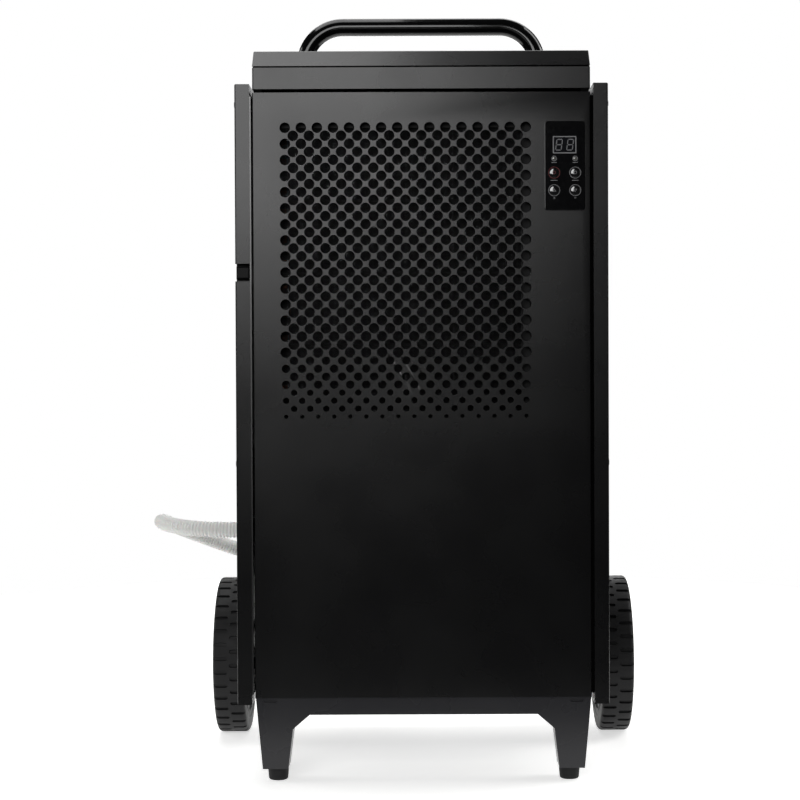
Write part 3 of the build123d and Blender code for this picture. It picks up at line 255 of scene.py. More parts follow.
def woven_nylon():
    """Black nylon thread of the dust screen."""
    material, tree, shader = new_material("nylon_thread", "#040404", 0.5, Specular_IOR_Level=0.12)
    vary(tree, grain(tree, 3000.0).outputs["Fac"], 0.5, 0.7, shader.inputs["Roughness"])
    return material


finish = {
    "powder_coat_black": powder_coat(),
    "enamel_gloss_black": enamel(),
    "zinc_plate": zinc(),
    "blackened_steel": black_oxide(),
    "foot_rubber": rubber("foot_rubber", "#151516", 0.62, 900.0),
    "tyre_rubber": rubber("tyre_rubber", "#0f0f10", 0.55, 1100.0),
    "wheel_plastic": moulded("wheel_polypropylene", "#161617", "#1d1d1f", 0.48),
    "bezel_abs": gloss_abs("bezel_gloss_abs", "#08080a"),
    "window_acrylic": smoked_window(),
    "lens_acrylic": gloss_abs("lens_acrylic", "#6b6b66", 0.12, 1.0),
    "button_abs": gloss_abs("button_gloss_abs", "#0c0c0e", 0.1, 1.0),
    "board_laminate": moulded("board_laminate", "#1e4a2a", "#2a5c36", 0.4),
    "filter_plastic": moulded(
        "filter_polypropylene", "#0a0a0b", "#0f0f10", 0.55, Specular_IOR_Level=0.2),
    "filter_weave": woven_nylon(),
    "galvanised_sheet": galvanised(),
    "fin_aluminium": aluminium(),
    "copper_tube": copper(),
    "tray_plastic": moulded("tray_abs", "#b6b6b2", "#c2c2be", 0.5),
    "fan_plastic": moulded("fan_nylon", "#1a1a1b", "#222223", 0.45),
    "compressor_enamel": moulded("compressor_enamel", "#101011", "#171718", 0.35),
    "motor_enamel": moulded("motor_enamel", "#5f6265", "#6a6d70", 0.45),
    "hose_pvc": hose_pvc(),
    "tie_plastic": moulded("tie_strap", "#1b1b1c", "#232324", 0.6),
    "gland_nylon": moulded("gland_nylon", "#131314", "#1a1a1b", 0.5),
    "box_plastic": moulded("box_abs", "#6d6f71", "#77797b", 0.5),
}
ink_grey = printed("ink_grey", "#8c8c8e")
ink_red = printed("ink_red", "#6a1216")
ink_dim = printed("ink_dim", "#77777a")
inner_primer = primer()
leg_coat_painted_light = powder_coat("powder_coat_painted_light", "#232326")      # painted light: the case's own coat drawn a shade greyer, for the brighter light on the leg frame
# dull black strips of painted shade for the lid's seam and the right joint
painted_shade_black = painted_shade_material()
trim_pvc = moulded("edge_trim_pvc", "#0c0c0d", "#121213", 0.3, Specular_IOR_Level=1.0)
coat_of_node = {"front_posts": inner_primer, "top_frame": inner_primer, "cover_brackets": inner_primer,
                "leg_frame": leg_coat_painted_light}
slot_of_node = {part["node"]: part["material_slot"] for part in frame["record"]["subparts"]}


def dress_cad_nodes():
    """Every carried-over node gets the finish of its slot, unless it has a coat of its own."""
    for name, node in frame["nodes"].items():
        material = coat_of_node.get(name, finish[slot_of_node[name]])
        if not node.material_slots:
            node.data.materials.append(material)
        for material_slot in node.material_slots:
            material_slot.material = material


# ---------------------------------------------------------------- mesh helpers
def keep(name, mesh, body, slot, replaced=(), material=None):
    """Puts a finished mesh in the scene at the origin and lets it ride on its body."""
    piece = bpy.data.objects.new(name, mesh)
    bpy.context.scene.collection.objects.link(piece)
    mesh.name = name
    if material or not mesh.materials:
        mesh.materials.clear()
        mesh.materials.append(material or finish[slot])
    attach(piece, body)
    if replaced:
        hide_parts(*replaced)
    return piece


def mesh_of(bm, smooth=35.0):
    """A mesh from a bmesh, merged, with outward faces, smooth below the given edge angle."""
    bmesh.ops.remove_doubles(bm, verts=bm.verts, dist=1e-6)
    bmesh.ops.recalc_face_normals(bm, faces=bm.faces)
    for face in bm.faces:
        face.smooth = smooth > 0
    limit = math.radians(smooth)
    for edge in bm.edges:
        if len(edge.link_faces) == 2 and edge.calc_face_angle(0.0) > limit:
            edge.smooth = False
    mesh = bpy.data.meshes.new("work")
    bm.to_mesh(mesh)
    bm.free()
    return mesh


def lathe(profile, count, axis="X", centre=(0, 0, 0)):
    """Turns (along, radius) points round an axis into a bmesh; a radius of 0 makes a pole."""
    bm = bmesh.new()
    rings = []
    for along, radius in profile:
        if radius == 0:
            rings.append([bm.verts.new(_on(axis, along, 0, 0, centre))])
        else:
            ring = []
            for k in range(count):
                turn = 2 * math.pi * k / count
                place = _on(axis, along, radius * math.cos(turn), radius * math.sin(turn), centre)
                ring.append(bm.verts.new(place))
            rings.append(ring)
    for low, high in zip(rings, rings[1:]):
        for k in range(count):
            n = (k + 1) % count
            face = [low[k % len(low)], low[n % len(low)], high[n % len(high)], high[k % len(high)]]
            unique = list(dict.fromkeys(face))
            if len(unique) > 2:
                bm.faces.new(unique)
    return bm


def band(bm, low, high):
    """Quads all round between two rings with the same number of vertices."""
    for k in range(len(low)):
        n = (k + 1) % len(low)
        bm.faces.new((low[k], low[n], high[n], high[k]))


def _on(axis, along, u, v, centre):
    order = {"X": (along, u, v), "Y": (u, along, v), "Z": (u, v, along)}[axis]
    return Vector(order) + Vector(centre)


def rounded_corner(corner, radius, start, steps=4):
    """Points of a quarter round about a corner's centre, from the start angle, in degrees."""
    return [
        (corner[0] + radius * math.cos(math.radians(start + 90 * k / steps)),
         corner[1] + radius * math.sin(math.radians(start + 90 * k / steps)))
        for k in range(steps + 1)
    ]


# ---------------------------------------------------------------- camera and light
CAMERA_DISTANCE = 2.300
CAMERA_LENS = 83.07                     # millimetres, on a 36 mm sensor
CAMERA_SHIFT = -0.028
CAMERA_HEIGHT = 0.5135
CAMERA_DOWN = math.radians(0.85)
CAMERA_ROLL = math.radians(-0.24)
FLOOR_RADIUS = 1.35
FLOOR_SETBACK = 0.8


def make_camera():
    """A long lens, level with the middle of the case and square to its front."""
    data = bpy.data.cameras.new("camera")
    data.sensor_width = 36.0
    data.lens = CAMERA_LENS
    data.shift_x = CAMERA_SHIFT
    camera = bpy.data.objects.new("camera", data)
    bpy.context.scene.collection.objects.link(camera)
    front_y = cad_box[0][1]
    forward = Vector((0, math.cos(CAMERA_DOWN), -math.sin(CAMERA_DOWN)))
    up = Vector((0, math.sin(CAMERA_DOWN), math.cos(CAMERA_DOWN)))
    right = Vector((1, 0, 0)) * math.cos(CAMERA_ROLL) + up * math.sin(CAMERA_ROLL)
    up = up * math.cos(CAMERA_ROLL) - Vector((1, 0, 0)) * math.sin(CAMERA_ROLL)
    turn = Matrix((right, up, -forward)).transposed().to_4x4()
    camera.matrix_world = Matrix.Translation((0, front_y - CAMERA_DISTANCE, CAMERA_HEIGHT)) @ turn
    bpy.context.scene.camera = camera


def area_light(name, place, target, size, power):
    data = bpy.data.lights.new(name, "AREA")
    data.shape = "RECTANGLE"
    data.size, data.size_y = size
    data.energy = power
    lamp = bpy.data.objects.new(name, data)
    lamp.location = place
    lamp.rotation_euler = (Vector(target) - Vector(place)).to_track_quat("-Z", "Y").to_euler()
    bpy.context.scene.collection.objects.link(lamp)
    return lamp


def make_studio():
    """White surround, pale floor and seven soft boxes: in front, overhead, at the sides and behind."""
    scene = bpy.context.scene
    scene.view_settings.view_transform = "Standard"
    world = bpy.data.worlds.new("studio")
    scene.world = world
    world.use_nodes = True
    tree = world.node_tree
    backdrop = tree.nodes["Background"]
    backdrop.inputs["Color"].default_value = (1, 1, 1, 1)
    backdrop.inputs["Strength"].default_value = 1.0
    fill = add(tree, "ShaderNodeBackground", inputs={"Color": (1, 1, 1, 1), "Strength": 0.03})
    ray = add(tree, "ShaderNodeLightPath")
    mix = add(tree, "ShaderNodeMixShader", Fac=ray.outputs["Is Camera Ray"])
    tree.links.new(fill.outputs[0], mix.inputs[1])
    tree.links.new(backdrop.outputs[0], mix.inputs[2])
    tree.links.new(mix.outputs[0], tree.nodes["World Output"].inputs["Surface"])
    area_light("front_box", (-0.76, -3.0, 1.42), (-0.5, 0, 1.2), (1.85, 1.2), 38)
    area_light("high_left_box", (-0.75, 0.1, 3.0), (-0.3, 0.1, 0), (1.6, 1.4), 22)
    area_light("high_right_box", (2.1, 0.3, 2.7), (0.2, 0.2, 0), (1.2, 1.6), 26)
    area_light("high_back_box", (0, 2.2, 3.0), (0, 0.8, 0), (3.0, 1.6), 30)
    area_light("left_box", (-3.0, 0.6, 1.4), (0, 0.2, 0.5), (1.4, 2.2), 26)
    area_light("right_box", (3.0, 0.6, 1.4), (0, 0.2, 0.5), (1.4, 2.2), 34)
    area_light("back_box", (0, 3.4, 1.15), (0, 0.3, 0.6), (3.0, 1.4), 45)
    floor = bpy.data.meshes.new("floor")
    bm = lathe([(0, 0), (0, FLOOR_RADIUS)], 96, "Z", (0, FLOOR_SETBACK, 0))
    bm.to_mesh(floor)
    bm.free()
    ground = bpy.data.objects.new("floor", floor)
    scene.collection.objects.link(ground)
    material, tree, shader = new_material(
        "floor_paper", "#f4f4f2", 0.9, Specular_IOR_Level=0.1, Emission_Strength=0.6)
    shader.inputs["Emission Color"].default_value = colour("#ffffff")
    floor.materials.append(material)


# ---------------------------------------------------------------- drain hose
HOSE_DIAMETER = 22 * MM
COIL_CENTRE = (40 * MM, 392 * MM)
COIL_FIRST_RADIUS = 135 * MM
COIL_TURNS = 2
COIL_POINTS = 16                        # per turn
HOSE_FLOOR = 12.5 * MM
RIB_PITCH = 4.6 * MM
RIB_DEPTH = 0.9 * MM
RIB_STEPS = 6                           # rings of the mesh to one rib
HOSE_SIDES = 18
HOSE_WALL = 1.6 * MM
BORE_RINGS = 40                         # how far the open end is hollow
PLAIN_CUFF = 30 * MM                    # unribbed end of the hose
# the route: out of the spigot to the left, round behind the machine and down to the floor
HOSE_ROUTE = [
    (-244, -14, 300), (-301, -14, 300), (-354, 24, 304), (-374, 86, 306), (-354, 148, 290), (-301, 186, 264),
    (-240, 191, 244), (-184, 193, 216), (-140, 201, 172), (-108, 216, 120), (-80, 234, 72), (-46, 250, 34),
    (-4, 257, 12.5), (40, 257, 12.5),
]


def hose_points():
    """The route, then the coil's turns: half circles that each lose half a hose of radius."""
    points = [Vector(p) * MM for p in HOSE_ROUTE]
    step = 360 / COIL_POINTS
    spread = 1 / math.cos(math.radians(step / 2))
    for half in range(2 * COIL_TURNS):
        radius = COIL_FIRST_RADIUS - half * HOSE_DIAMETER / 2
        centre_y = COIL_CENTRE[1] + (half % 2) * HOSE_DIAMETER / 2
        for k in range(COIL_POINTS // 2):
            turn = math.radians(-90 + 180 * half + step * (k + 0.5))
            x = COIL_CENTRE[0] + radius * spread * math.cos(turn)
            points.append(Vector((x, centre_y + radius * spread * math.sin(turn), HOSE_FLOOR)))
    last = COIL_FIRST_RADIUS - (2 * COIL_TURNS - 1) * HOSE_DIAMETER / 2
    points.append(Vector((COIL_CENTRE[0], COIL_CENTRE[1] + HOSE_DIAMETER / 2 - last, HOSE_FLOOR)))
    return points


def spline_line(points, resolution):
    """Points along the smooth curve of a route, closest first."""
    data = bpy.data.curves.new("route", "CURVE")
    data.dimensions = "3D"
    data.resolution_u = resolution
    spline = data.splines.new("NURBS")
    spline.points.add(len(points) - 1)
    for control, point in zip(spline.points, points):
        control.co = (*point, 1.0)
    spline.order_u = 3
    spline.use_endpoint_u = True
    route = bpy.data.objects.new("route", data)
    bpy.context.scene.collection.objects.link(route)
    bpy.context.view_layer.update()
    line = bpy.data.meshes.new_from_object(route)
    path = [v.co.copy() for v in line.vertices]
    bpy.data.objects.remove(route)
    bpy.data.meshes.remove(line)
    return path


def evenly(path, step):
    """The same line, with points a fixed step apart, and its length."""
    out, left, total = [path[0].copy()], step, 0.0
    for a, b in zip(path, path[1:]):
        span = (b - a).length
        total += span
        done = 0.0
        while span - done >= left:
            done += left
            out.append(a.lerp(b, done / span))
            left = step
        left -= span - done
    return out, total


def tube_rings(bm, path, radii, sides):
    """A tube's rings along a path, carried round bends without twisting."""
    rings, side = [], None
    for index, point in enumerate(path):
        ahead = path[min(index + 1, len(path) - 1)] - path[max(index - 1, 0)]
        ahead.normalize()
        if side is None:
            side = ahead.orthogonal().normalized()
        side = (side - ahead * side.dot(ahead)).normalized()
        other = ahead.cross(side)
        ring = []
        for k in range(sides):
            turn = 2 * math.pi * k / sides
            ring.append(bm.verts.new(point + (side * math.cos(turn) + other * math.sin(turn)) * radii[index]))
        rings.append(ring)
    for low, high in zip(rings, rings[1:]):
        band(bm, low, high)
    return rings


def close_ring(bm, ring, centre):
    middle = bm.verts.new(centre)
    for k, vert in enumerate(ring):
        bm.faces.new((vert, ring[(k + 1) % len(ring)], middle))


def make_hose():
    """Corrugated white hose, with a plain open cuff at its far end."""
    path = spline_line(hose_points(), 10)
    fine, length = evenly(path, RIB_PITCH / RIB_STEPS)
    radius = HOSE_DIAMETER / 2
    radii = []
    for index in range(len(fine)):
        along = index * RIB_PITCH / RIB_STEPS
        fade = min(1.0, max(0.0, (length - PLAIN_CUFF - along) / (2 * RIB_PITCH)))
        wave = 0.5 + 0.5 * math.cos(2 * math.pi * along / RIB_PITCH)
        radii.append(radius - RIB_DEPTH * fade * (1 - wave ** 0.6))
    bm = bmesh.new()
    rings = tube_rings(bm, fine, radii, HOSE_SIDES)
    back = fine[-BORE_RINGS:]
    bore = tube_rings(bm, back[::-1], [radius - HOSE_WALL] * len(back), HOSE_SIDES)
    bore[0].reverse()
    bmesh.ops.bridge_loops(bm, edges=[e for r in (rings[-1], bore[0]) for e in _loop_edges(r)])
    close_ring(bm, bore[-1], back[0])
    close_ring(bm, rings[0], fine[0])
    hose = keep("drain_hose_ribbed", mesh_of(bm, 60), "chassis", "hose_pvc", ("drain_hose", "hose_coil"))


def _loop_edges(ring):
    edges = []
    for k, vert in enumerate(ring):
        after = ring[(k + 1) % len(ring)]
        edges += [e for e in vert.link_edges if e.other_vert(vert) is after]
    return edges


# ---------------------------------------------------------------- geometry node helpers
def new_tree(name, sockets):
    """A Geometry Nodes tree with named inputs, given as (name, kind, default)."""
    tree = bpy.data.node_groups.new(name, "GeometryNodeTree")
    tree.interface.new_socket("Geometry", in_out="INPUT", socket_type="NodeSocketGeometry")
    tree.interface.new_socket("Geometry", in_out="OUTPUT", socket_type="NodeSocketGeometry")
    for label, kind, default in sockets:
        socket = tree.interface.new_socket(label, in_out="INPUT", socket_type="NodeSocket" + kind)
        if default is not None:
            socket.default_value = default
    return tree, tree.nodes.new("NodeGroupInput").outputs, tree.nodes.new("NodeGroupOutput")


def calc(tree, operation, first, second=None):
    """One math node, fed by sockets or plain numbers."""
    node = tree.nodes.new("ShaderNodeMath")
    node.operation = operation
    for socket, value in zip(node.inputs, (first, second)):
        if isinstance(value, (int, float)):
            socket.default_value = value
        elif value is not None:
            tree.links.new(value, socket)
    return node.outputs[0]


def finish_tree(tree, geometry, material, end):
    """Every tree ends in real geometry with its material."""
    real = add(tree, "GeometryNodeRealizeInstances", Geometry=geometry)
    dressed = add(tree, "GeometryNodeSetMaterial", Geometry=real.outputs["Geometry"], Material=material)
    tree.links.new(dressed.outputs["Geometry"], end.inputs["Geometry"])


def grown(mesh, steps):
    """A mesh put through trees in turn, each (tree, {input name: value}); the modifiers don't stay."""
    work = bpy.data.objects.new("work", mesh)
    bpy.context.scene.collection.objects.link(work)
    for tree, values in steps:
        modifier = work.modifiers.new(tree.name, "NODES")
        modifier.node_group = tree
        for socket in tree.interface.items_tree:
            if socket.item_type == "SOCKET" and socket.in_out == "INPUT" and socket.name in values:
                modifier[socket.identifier] = values[socket.name]
    bpy.context.view_layer.update()
    evaluated = work.evaluated_get(bpy.context.evaluated_depsgraph_get())
    made = bpy.data.meshes.new_from_object(evaluated)
    bpy.data.objects.remove(work)
    return made


tools = []


def tool(name, bm):
    """A helper object for a tree: hidden, and removed when the pieces are made."""
    item = bpy.data.objects.new(name, mesh_of(bm, 30))
    bpy.context.scene.collection.objects.link(item)
    item.hide_render = True
    tools.append(item)
    return item


def node_box(name):
    low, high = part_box(name)
    return Vector(low), Vector(high)


# ---------------------------------------------------------------- trees
def punched_sheet_tree():
    """Rows of staggered round holes through a sheet that faces -Y."""
    tree, use, end = new_tree("punched_sheet", [
        ("Cutter", "Object", None), ("Columns", "Int", 16), ("Rows", "Int", 8), ("First Row", "Int", 0),
        ("Pitch X", "Float", 0.02), ("Pitch Z", "Float", 0.01), ("Centre X", "Float", 0.0),
        ("Top Z", "Float", 0.0),
        ("Face Y", "Float", 0.0), ("Radius", "Float", 0.006), ("Field Radius", "Float", 10.0),
        ("Field Z", "Float", 0.0), ("Material", "Material", None)])
    index = add(tree, "GeometryNodeInputIndex").outputs[0]
    row = calc(tree, "FLOOR", calc(tree, "DIVIDE", calc(tree, "ADD", index, 0.5), use["Columns"]))
    column = calc(tree, "SUBTRACT", index, calc(tree, "MULTIPLY", row, use["Columns"]))
    odd = calc(tree, "MODULO", calc(tree, "ADD", row, use["First Row"]), 2)
    last = calc(tree, "SUBTRACT", use["Columns"], 1)
    steps = calc(tree, "SUBTRACT", calc(tree, "ADD", column, calc(tree, "MULTIPLY", odd, 0.5)),
                 calc(tree, "MULTIPLY", last, 0.5))
    x = calc(tree, "ADD", use["Centre X"], calc(tree, "MULTIPLY", steps, use["Pitch X"]))
    z = calc(tree, "SUBTRACT", use["Top Z"], calc(tree, "MULTIPLY", row, use["Pitch Z"]))
    place = add(tree, "ShaderNodeCombineXYZ", X=x, Y=use["Face Y"], Z=z)
    grid = add(tree, "GeometryNodePoints", Count=calc(tree, "MULTIPLY", use["Columns"], use["Rows"]),
               Position=place.outputs[0])
    beyond = calc(tree, "GREATER_THAN", calc(tree, "ADD", column, odd), calc(tree, "ADD", last, 0.5))
    across = calc(tree, "SUBTRACT", x, use["Centre X"])
    up = calc(tree, "SUBTRACT", z, use["Field Z"])
    reach = calc(tree, "SQRT", calc(
        tree, "ADD", calc(tree, "MULTIPLY", across, across), calc(tree, "MULTIPLY", up, up)))
    outside = calc(tree, "GREATER_THAN", reach, use["Field Radius"])
    drop = calc(tree, "GREATER_THAN", calc(tree, "ADD", beyond, outside), 0.5)
    kept = add(tree, "GeometryNodeDeleteGeometry", {"domain": "POINT"},
               Geometry=grid.outputs[0], Selection=drop)
    cutter = add(tree, "GeometryNodeObjectInfo", Object=use["Cutter"])
    size = add(tree, "ShaderNodeCombineXYZ", {}, {"Y": 1.0}, X=use["Radius"], Z=use["Radius"])
    placed = add(tree, "GeometryNodeInstanceOnPoints", Points=kept.outputs[0],
                 Instance=cutter.outputs["Geometry"], Scale=size.outputs[0])
    real = add(tree, "GeometryNodeRealizeInstances", Geometry=placed.outputs[0])
    cut = add(tree, "GeometryNodeMeshBoolean", {"operation": "DIFFERENCE", "solver": "MANIFOLD"},
              Mesh_1=use["Geometry"], Mesh_2=real.outputs[0])
    finish_tree(tree, cut.outputs["Mesh"], use["Material"], end)
    return tree


def row_tree():
    """Copies of the incoming shape in a straight row."""
    tree, use, end = new_tree("row_of_copies", [
        ("Count", "Int", 10), ("Step", "Vector", (0.0, 0.0, 0.0)), ("Material", "Material", None)])
    line = add(tree, "GeometryNodeMeshLine", {"mode": "OFFSET"}, Count=use["Count"], Offset=use["Step"])
    placed = add(tree, "GeometryNodeInstanceOnPoints", Points=line.outputs[0], Instance=use["Geometry"])
    finish_tree(tree, placed.outputs[0], use["Material"], end)
    return tree


def ring_cut_tree():
    """Cuts a ring of equal grooves into a tyre that turns round X."""
    tree, use, end = new_tree("tyre_grooves", [
        ("Cutter", "Object", None), ("Count", "Int", 36), ("Centre", "Vector", (0.0, 0.0, 0.0)),
        ("First Turn", "Float", 0.0), ("Material", "Material", None)])
    index = add(tree, "GeometryNodeInputIndex").outputs[0]
    turn = calc(tree, "ADD", use["First Turn"],
                calc(tree, "MULTIPLY", index, calc(tree, "DIVIDE", 2 * math.pi, use["Count"])))
    spin = add(tree, "ShaderNodeCombineXYZ", X=turn)
    points = add(tree, "GeometryNodePoints", Count=use["Count"], Position=use["Centre"])
    cutter = add(tree, "GeometryNodeObjectInfo", Object=use["Cutter"])
    placed = add(tree, "GeometryNodeInstanceOnPoints", Points=points.outputs[0],
                 Instance=cutter.outputs["Geometry"], Rotation=spin.outputs[0])
    real = add(tree, "GeometryNodeRealizeInstances", Geometry=placed.outputs[0])
    cut = add(tree, "GeometryNodeMeshBoolean", {"operation": "DIFFERENCE", "solver": "MANIFOLD"},
              Mesh_1=use["Geometry"], Mesh_2=real.outputs[0])
    finish_tree(tree, cut.outputs["Mesh"], use["Material"], end)
    return tree


def scatter_tree():
    """A copy of one shape on each vertex of the incoming mesh, all turned the same way."""
    tree, use, end = new_tree("copies_on_vertices", [
        ("Shape", "Object", None), ("Turn", "Rotation", None), ("Material", "Material", None)])
    shape = add(tree, "GeometryNodeObjectInfo", Object=use["Shape"])
    placed = add(tree, "GeometryNodeInstanceOnPoints", Points=use["Geometry"],
                 Instance=shape.outputs["Geometry"], Rotation=use["Turn"])
    finish_tree(tree, placed.outputs[0], use["Material"], end)
    return tree


def points_mesh(places):
    mesh = bpy.data.meshes.new("places")
    mesh.from_pydata([tuple(p) for p in places], [], [])
    return mesh


def joined(meshes):
    bm = bmesh.new()
    for mesh in meshes:
        bm.from_mesh(mesh)
    return bm


def plain_mesh(name, bm):
    """A mesh from a bmesh, as it is."""
    mesh = bpy.data.meshes.new(name)
    bm.to_mesh(mesh)
    bm.free()
    return mesh


def add_box(bm, low, high):
    """A block between two corners."""
    corners = [bm.verts.new((x, y, z))
               for x in (low[0], high[0]) for y in (low[1], high[1]) for z in (low[2], high[2])]
    for quad in ((0, 1, 3, 2), (4, 6, 7, 5), (0, 4, 5, 1), (2, 3, 7, 6), (0, 2, 6, 4), (1, 5, 7, 3)):
        bm.faces.new([corners[k] for k in quad])


def extruded(bm, outline, y0, y1):
    """A closed (x, z) outline, drawn clockwise or not, as a slab from y0 to y1."""
    front = [bm.verts.new((x, y0, z)) for x, z in outline]
    back = [bm.verts.new((x, y1, z)) for x, z in outline]
    bm.faces.new(front)
    bm.faces.new(back)
    band(bm, front, back)


def round_rect(centre, size, radius, steps=5):
    """Outline of a rectangle with round corners."""
    half_x, half_z = size[0] / 2 - radius, size[1] / 2 - radius
    points = []
    for turn, sx, sz in ((0, 1, 1), (90, -1, 1), (180, -1, -1), (270, 1, -1)):
        points += rounded_corner((centre[0] + sx * half_x, centre[1] + sz * half_z), radius, turn, steps)
    return points


def circle(centre, radius, count=32):
    turns = [2 * math.pi * k / count for k in range(count)]
    return [(centre[0] + radius * math.cos(turn), centre[1] + radius * math.sin(turn)) for turn in turns]


def ring_slab(bm, outer, inner, y0, y1):
    """A flat frame between two outlines with the same number of points."""
    loops = [[bm.verts.new((x, y, z)) for x, z in outline] for y in (y0, y1) for outline in (outer, inner)]
    order = (0, 1, 3, 2)
    for first, second in zip(order, order[1:] + order[:1]):
        band(bm, loops[first], loops[second])


# ---------------------------------------------------------------- front panel and rear panel
SHEET = 1.5 * MM
HOLE_BANDS = ((29, 12.4 * MM), (4, 10.0 * MM), (3, 7.5 * MM), (1, 5.0 * MM))    # rows and diameter, top down
HOLE_TOP_Z = 819 * MM
HOLE_CENTRE_X = -20 * MM
HOLE_PITCH_X = 20 * MM
HOLE_PITCH_Z = 10 * MM
HOLE_COLUMNS = 16
BEZEL_OPENING = (39.6 * MM, 100 * MM)   # in the sheet, behind the control panel
EVERYWHERE = 10.0                       # a field wider than any sheet
OUTLET_PITCH = 14 * MM
OUTLET_HOLE = 5 * MM
OUTLET_FIELD = 140 * MM
OUTLET_COLUMNS = 23


def hole_cutter():
    """Unit-radius punch: its mouth flares a little, as punched sheet rolls over at the edge."""
    flare = 1.07
    return tool("punch", lathe([
        (-SHEET, 0), (-SHEET, flare), (0.0, flare), (0.15 * MM, 1.02), (0.4 * MM, 1.0), (3 * SHEET, 1.0),
        (3 * SHEET, 0)], 28, "Y"))


def folded_sheet(low, high, thickness, fold_round=1.4 * MM):
    """A sheet facing -Y whose left and right edges fold back, with rounded folds."""
    profile = []
    for side in (-1, 1):
        x = high[0] if side > 0 else low[0]
        inner = [(x - side * thickness, high[1]), (x, high[1])]
        arc = [(x - side * fold_round * (1 - math.cos(math.radians(a))),
                low[1] + fold_round * (1 - math.sin(math.radians(a)))) for a in (0, 15, 30, 45, 60, 75, 90)]
        bend = [(x - side * thickness, low[1] + thickness)]
        part = inner + arc
        profile.append((part, bend))
    left, right = profile
    outline = right[0][1:] + left[0][1:][::-1] + [left[0][0]] + left[1] + right[1] + [right[0][0]]
    bm = bmesh.new()
    rings = [[bm.verts.new((x, y, z)) for x, y in outline] for z in (low[2], high[2])]
    band(bm, *rings)
    for ring in rings:
        bm.faces.new(ring)
    bmesh.ops.recalc_face_normals(bm, faces=bm.faces)
    front = [e for e in bm.edges if all(abs(v.co.y - low[1]) < 1e-6 for v in e.verts)
             and abs(e.verts[0].co.z - e.verts[1].co.z) < 1e-6]
    bmesh.ops.bevel(bm, geom=front, offset=0.6 * MM, segments=2, affect="EDGES")
    return bm


def make_front_panel():
    """Sheet with 37 rows of holes in four sizes and the opening behind the control panel."""
    low, high = node_box("front_panel")
    sheet = mesh_of(folded_sheet(low, high, SHEET), 30)
    steps, row = [], 0
    for rows, diameter in HOLE_BANDS:
        steps.append((punched, {
            "Cutter": punch, "Columns": HOLE_COLUMNS, "Rows": rows, "First Row": row % 2,
            "Pitch X": HOLE_PITCH_X,
            "Pitch Z": HOLE_PITCH_Z, "Centre X": HOLE_CENTRE_X, "Top Z": HOLE_TOP_Z - row * HOLE_PITCH_Z,
            "Face Y": low[1], "Radius": diameter / 2, "Field Radius": EVERYWHERE, "Material": finish[BLACK]}))
        row += rows
    mesh = grown(sheet, steps)
    mesh = carved(mesh, [("block", (BEZEL_X, BEZEL_Z), BEZEL_OPENING, low[1] - SHEET, low[1] + 2 * SHEET)])
    keep("front_panel_sheet", shaded(mesh), "chassis", BLACK, ("front_panel",))


def make_rear_panel():
    """Back sheet with its round field of holes over the fan, facing +Y."""
    low, high = node_box("rear_panel")
    bm = folded_sheet(low, high, SHEET)
    for vert in bm.verts:
        vert.co.y = low[1] + high[1] - vert.co.y
    bmesh.ops.reverse_faces(bm, faces=bm.faces)
    pitch_z = OUTLET_PITCH * math.sqrt(3) / 2
    rows = 2 * int(OUTLET_FIELD / pitch_z) + 1
    fan_low, fan_high = node_box("fan_shaft")
    middle_z = (fan_low.z + fan_high.z) / 2
    mesh = grown(mesh_of(bm, 30), [(punched, {
        "Cutter": back_punch, "Columns": OUTLET_COLUMNS, "Rows": rows, "First Row": (rows // 2) % 2,
        "Pitch X": OUTLET_PITCH, "Pitch Z": pitch_z, "Centre X": 0.0,
        "Top Z": middle_z + (rows // 2) * pitch_z, "Face Y": high[1], "Radius": OUTLET_HOLE,
        "Field Radius": OUTLET_FIELD, "Field Z": middle_z, "Material": finish[BLACK]})])
    keep("rear_panel_sheet", shaded(mesh), "chassis", BLACK, ("rear_panel",))


def shaded(mesh, angle=35.0):
    """Smooth shading with sharp edges kept, on a finished mesh."""
    bm = bmesh.new()
    bm.from_mesh(mesh)
    return mesh_of(bm, angle)


def solid_object(name, bm):
    """An object made of closed shells, with outward faces."""
    bmesh.ops.recalc_face_normals(bm, faces=bm.faces)
    return bpy.data.objects.new(name, plain_mesh(name, bm))


def subtract(item, cutter):
    """Takes one object's shape out of another's, with a live modifier."""
    modifier = item.modifiers.new("cut", "BOOLEAN")
    modifier.operation, modifier.solver, modifier.object = "DIFFERENCE", "MANIFOLD", cutter


def carved(mesh, cuts):
    """Cuts blocks and round holes, each through its own depth along Y."""
    bm = bmesh.new()
    for kind, centre, size, y0, y1 in cuts:
        outline = circle(centre, size) if kind == "hole" else round_rect(centre, size, 0.8 * MM, 3)
        extruded(bm, outline, y0, y1)
    cutter = solid_object("cutter", bm)
    work = bpy.data.objects.new("work", mesh)
    for item in (cutter, work):
        bpy.context.scene.collection.objects.link(item)
    subtract(work, cutter)
    bpy.context.view_layer.update()
    made = bpy.data.meshes.new_from_object(work.evaluated_get(bpy.context.evaluated_depsgraph_get()))
    for item in (cutter, work):
        bpy.data.objects.remove(item)
    return made


# ---------------------------------------------------------------- tyres
GROOVES = 36
GROOVE_WIDTH = 6.4 * MM
GROOVE_DEPTH = 2.6 * MM
GROOVE_LENGTH = 15.5 * MM
GROOVE_REACH = 20 * MM                  # how far the cutter runs on past the tread's edge
CENTRE_BAND = 3.0 * MM
TYRE_BORE = 80.05 * MM
TYRE_SHOULDER = 6 * MM
TYRE_STEPS = 144


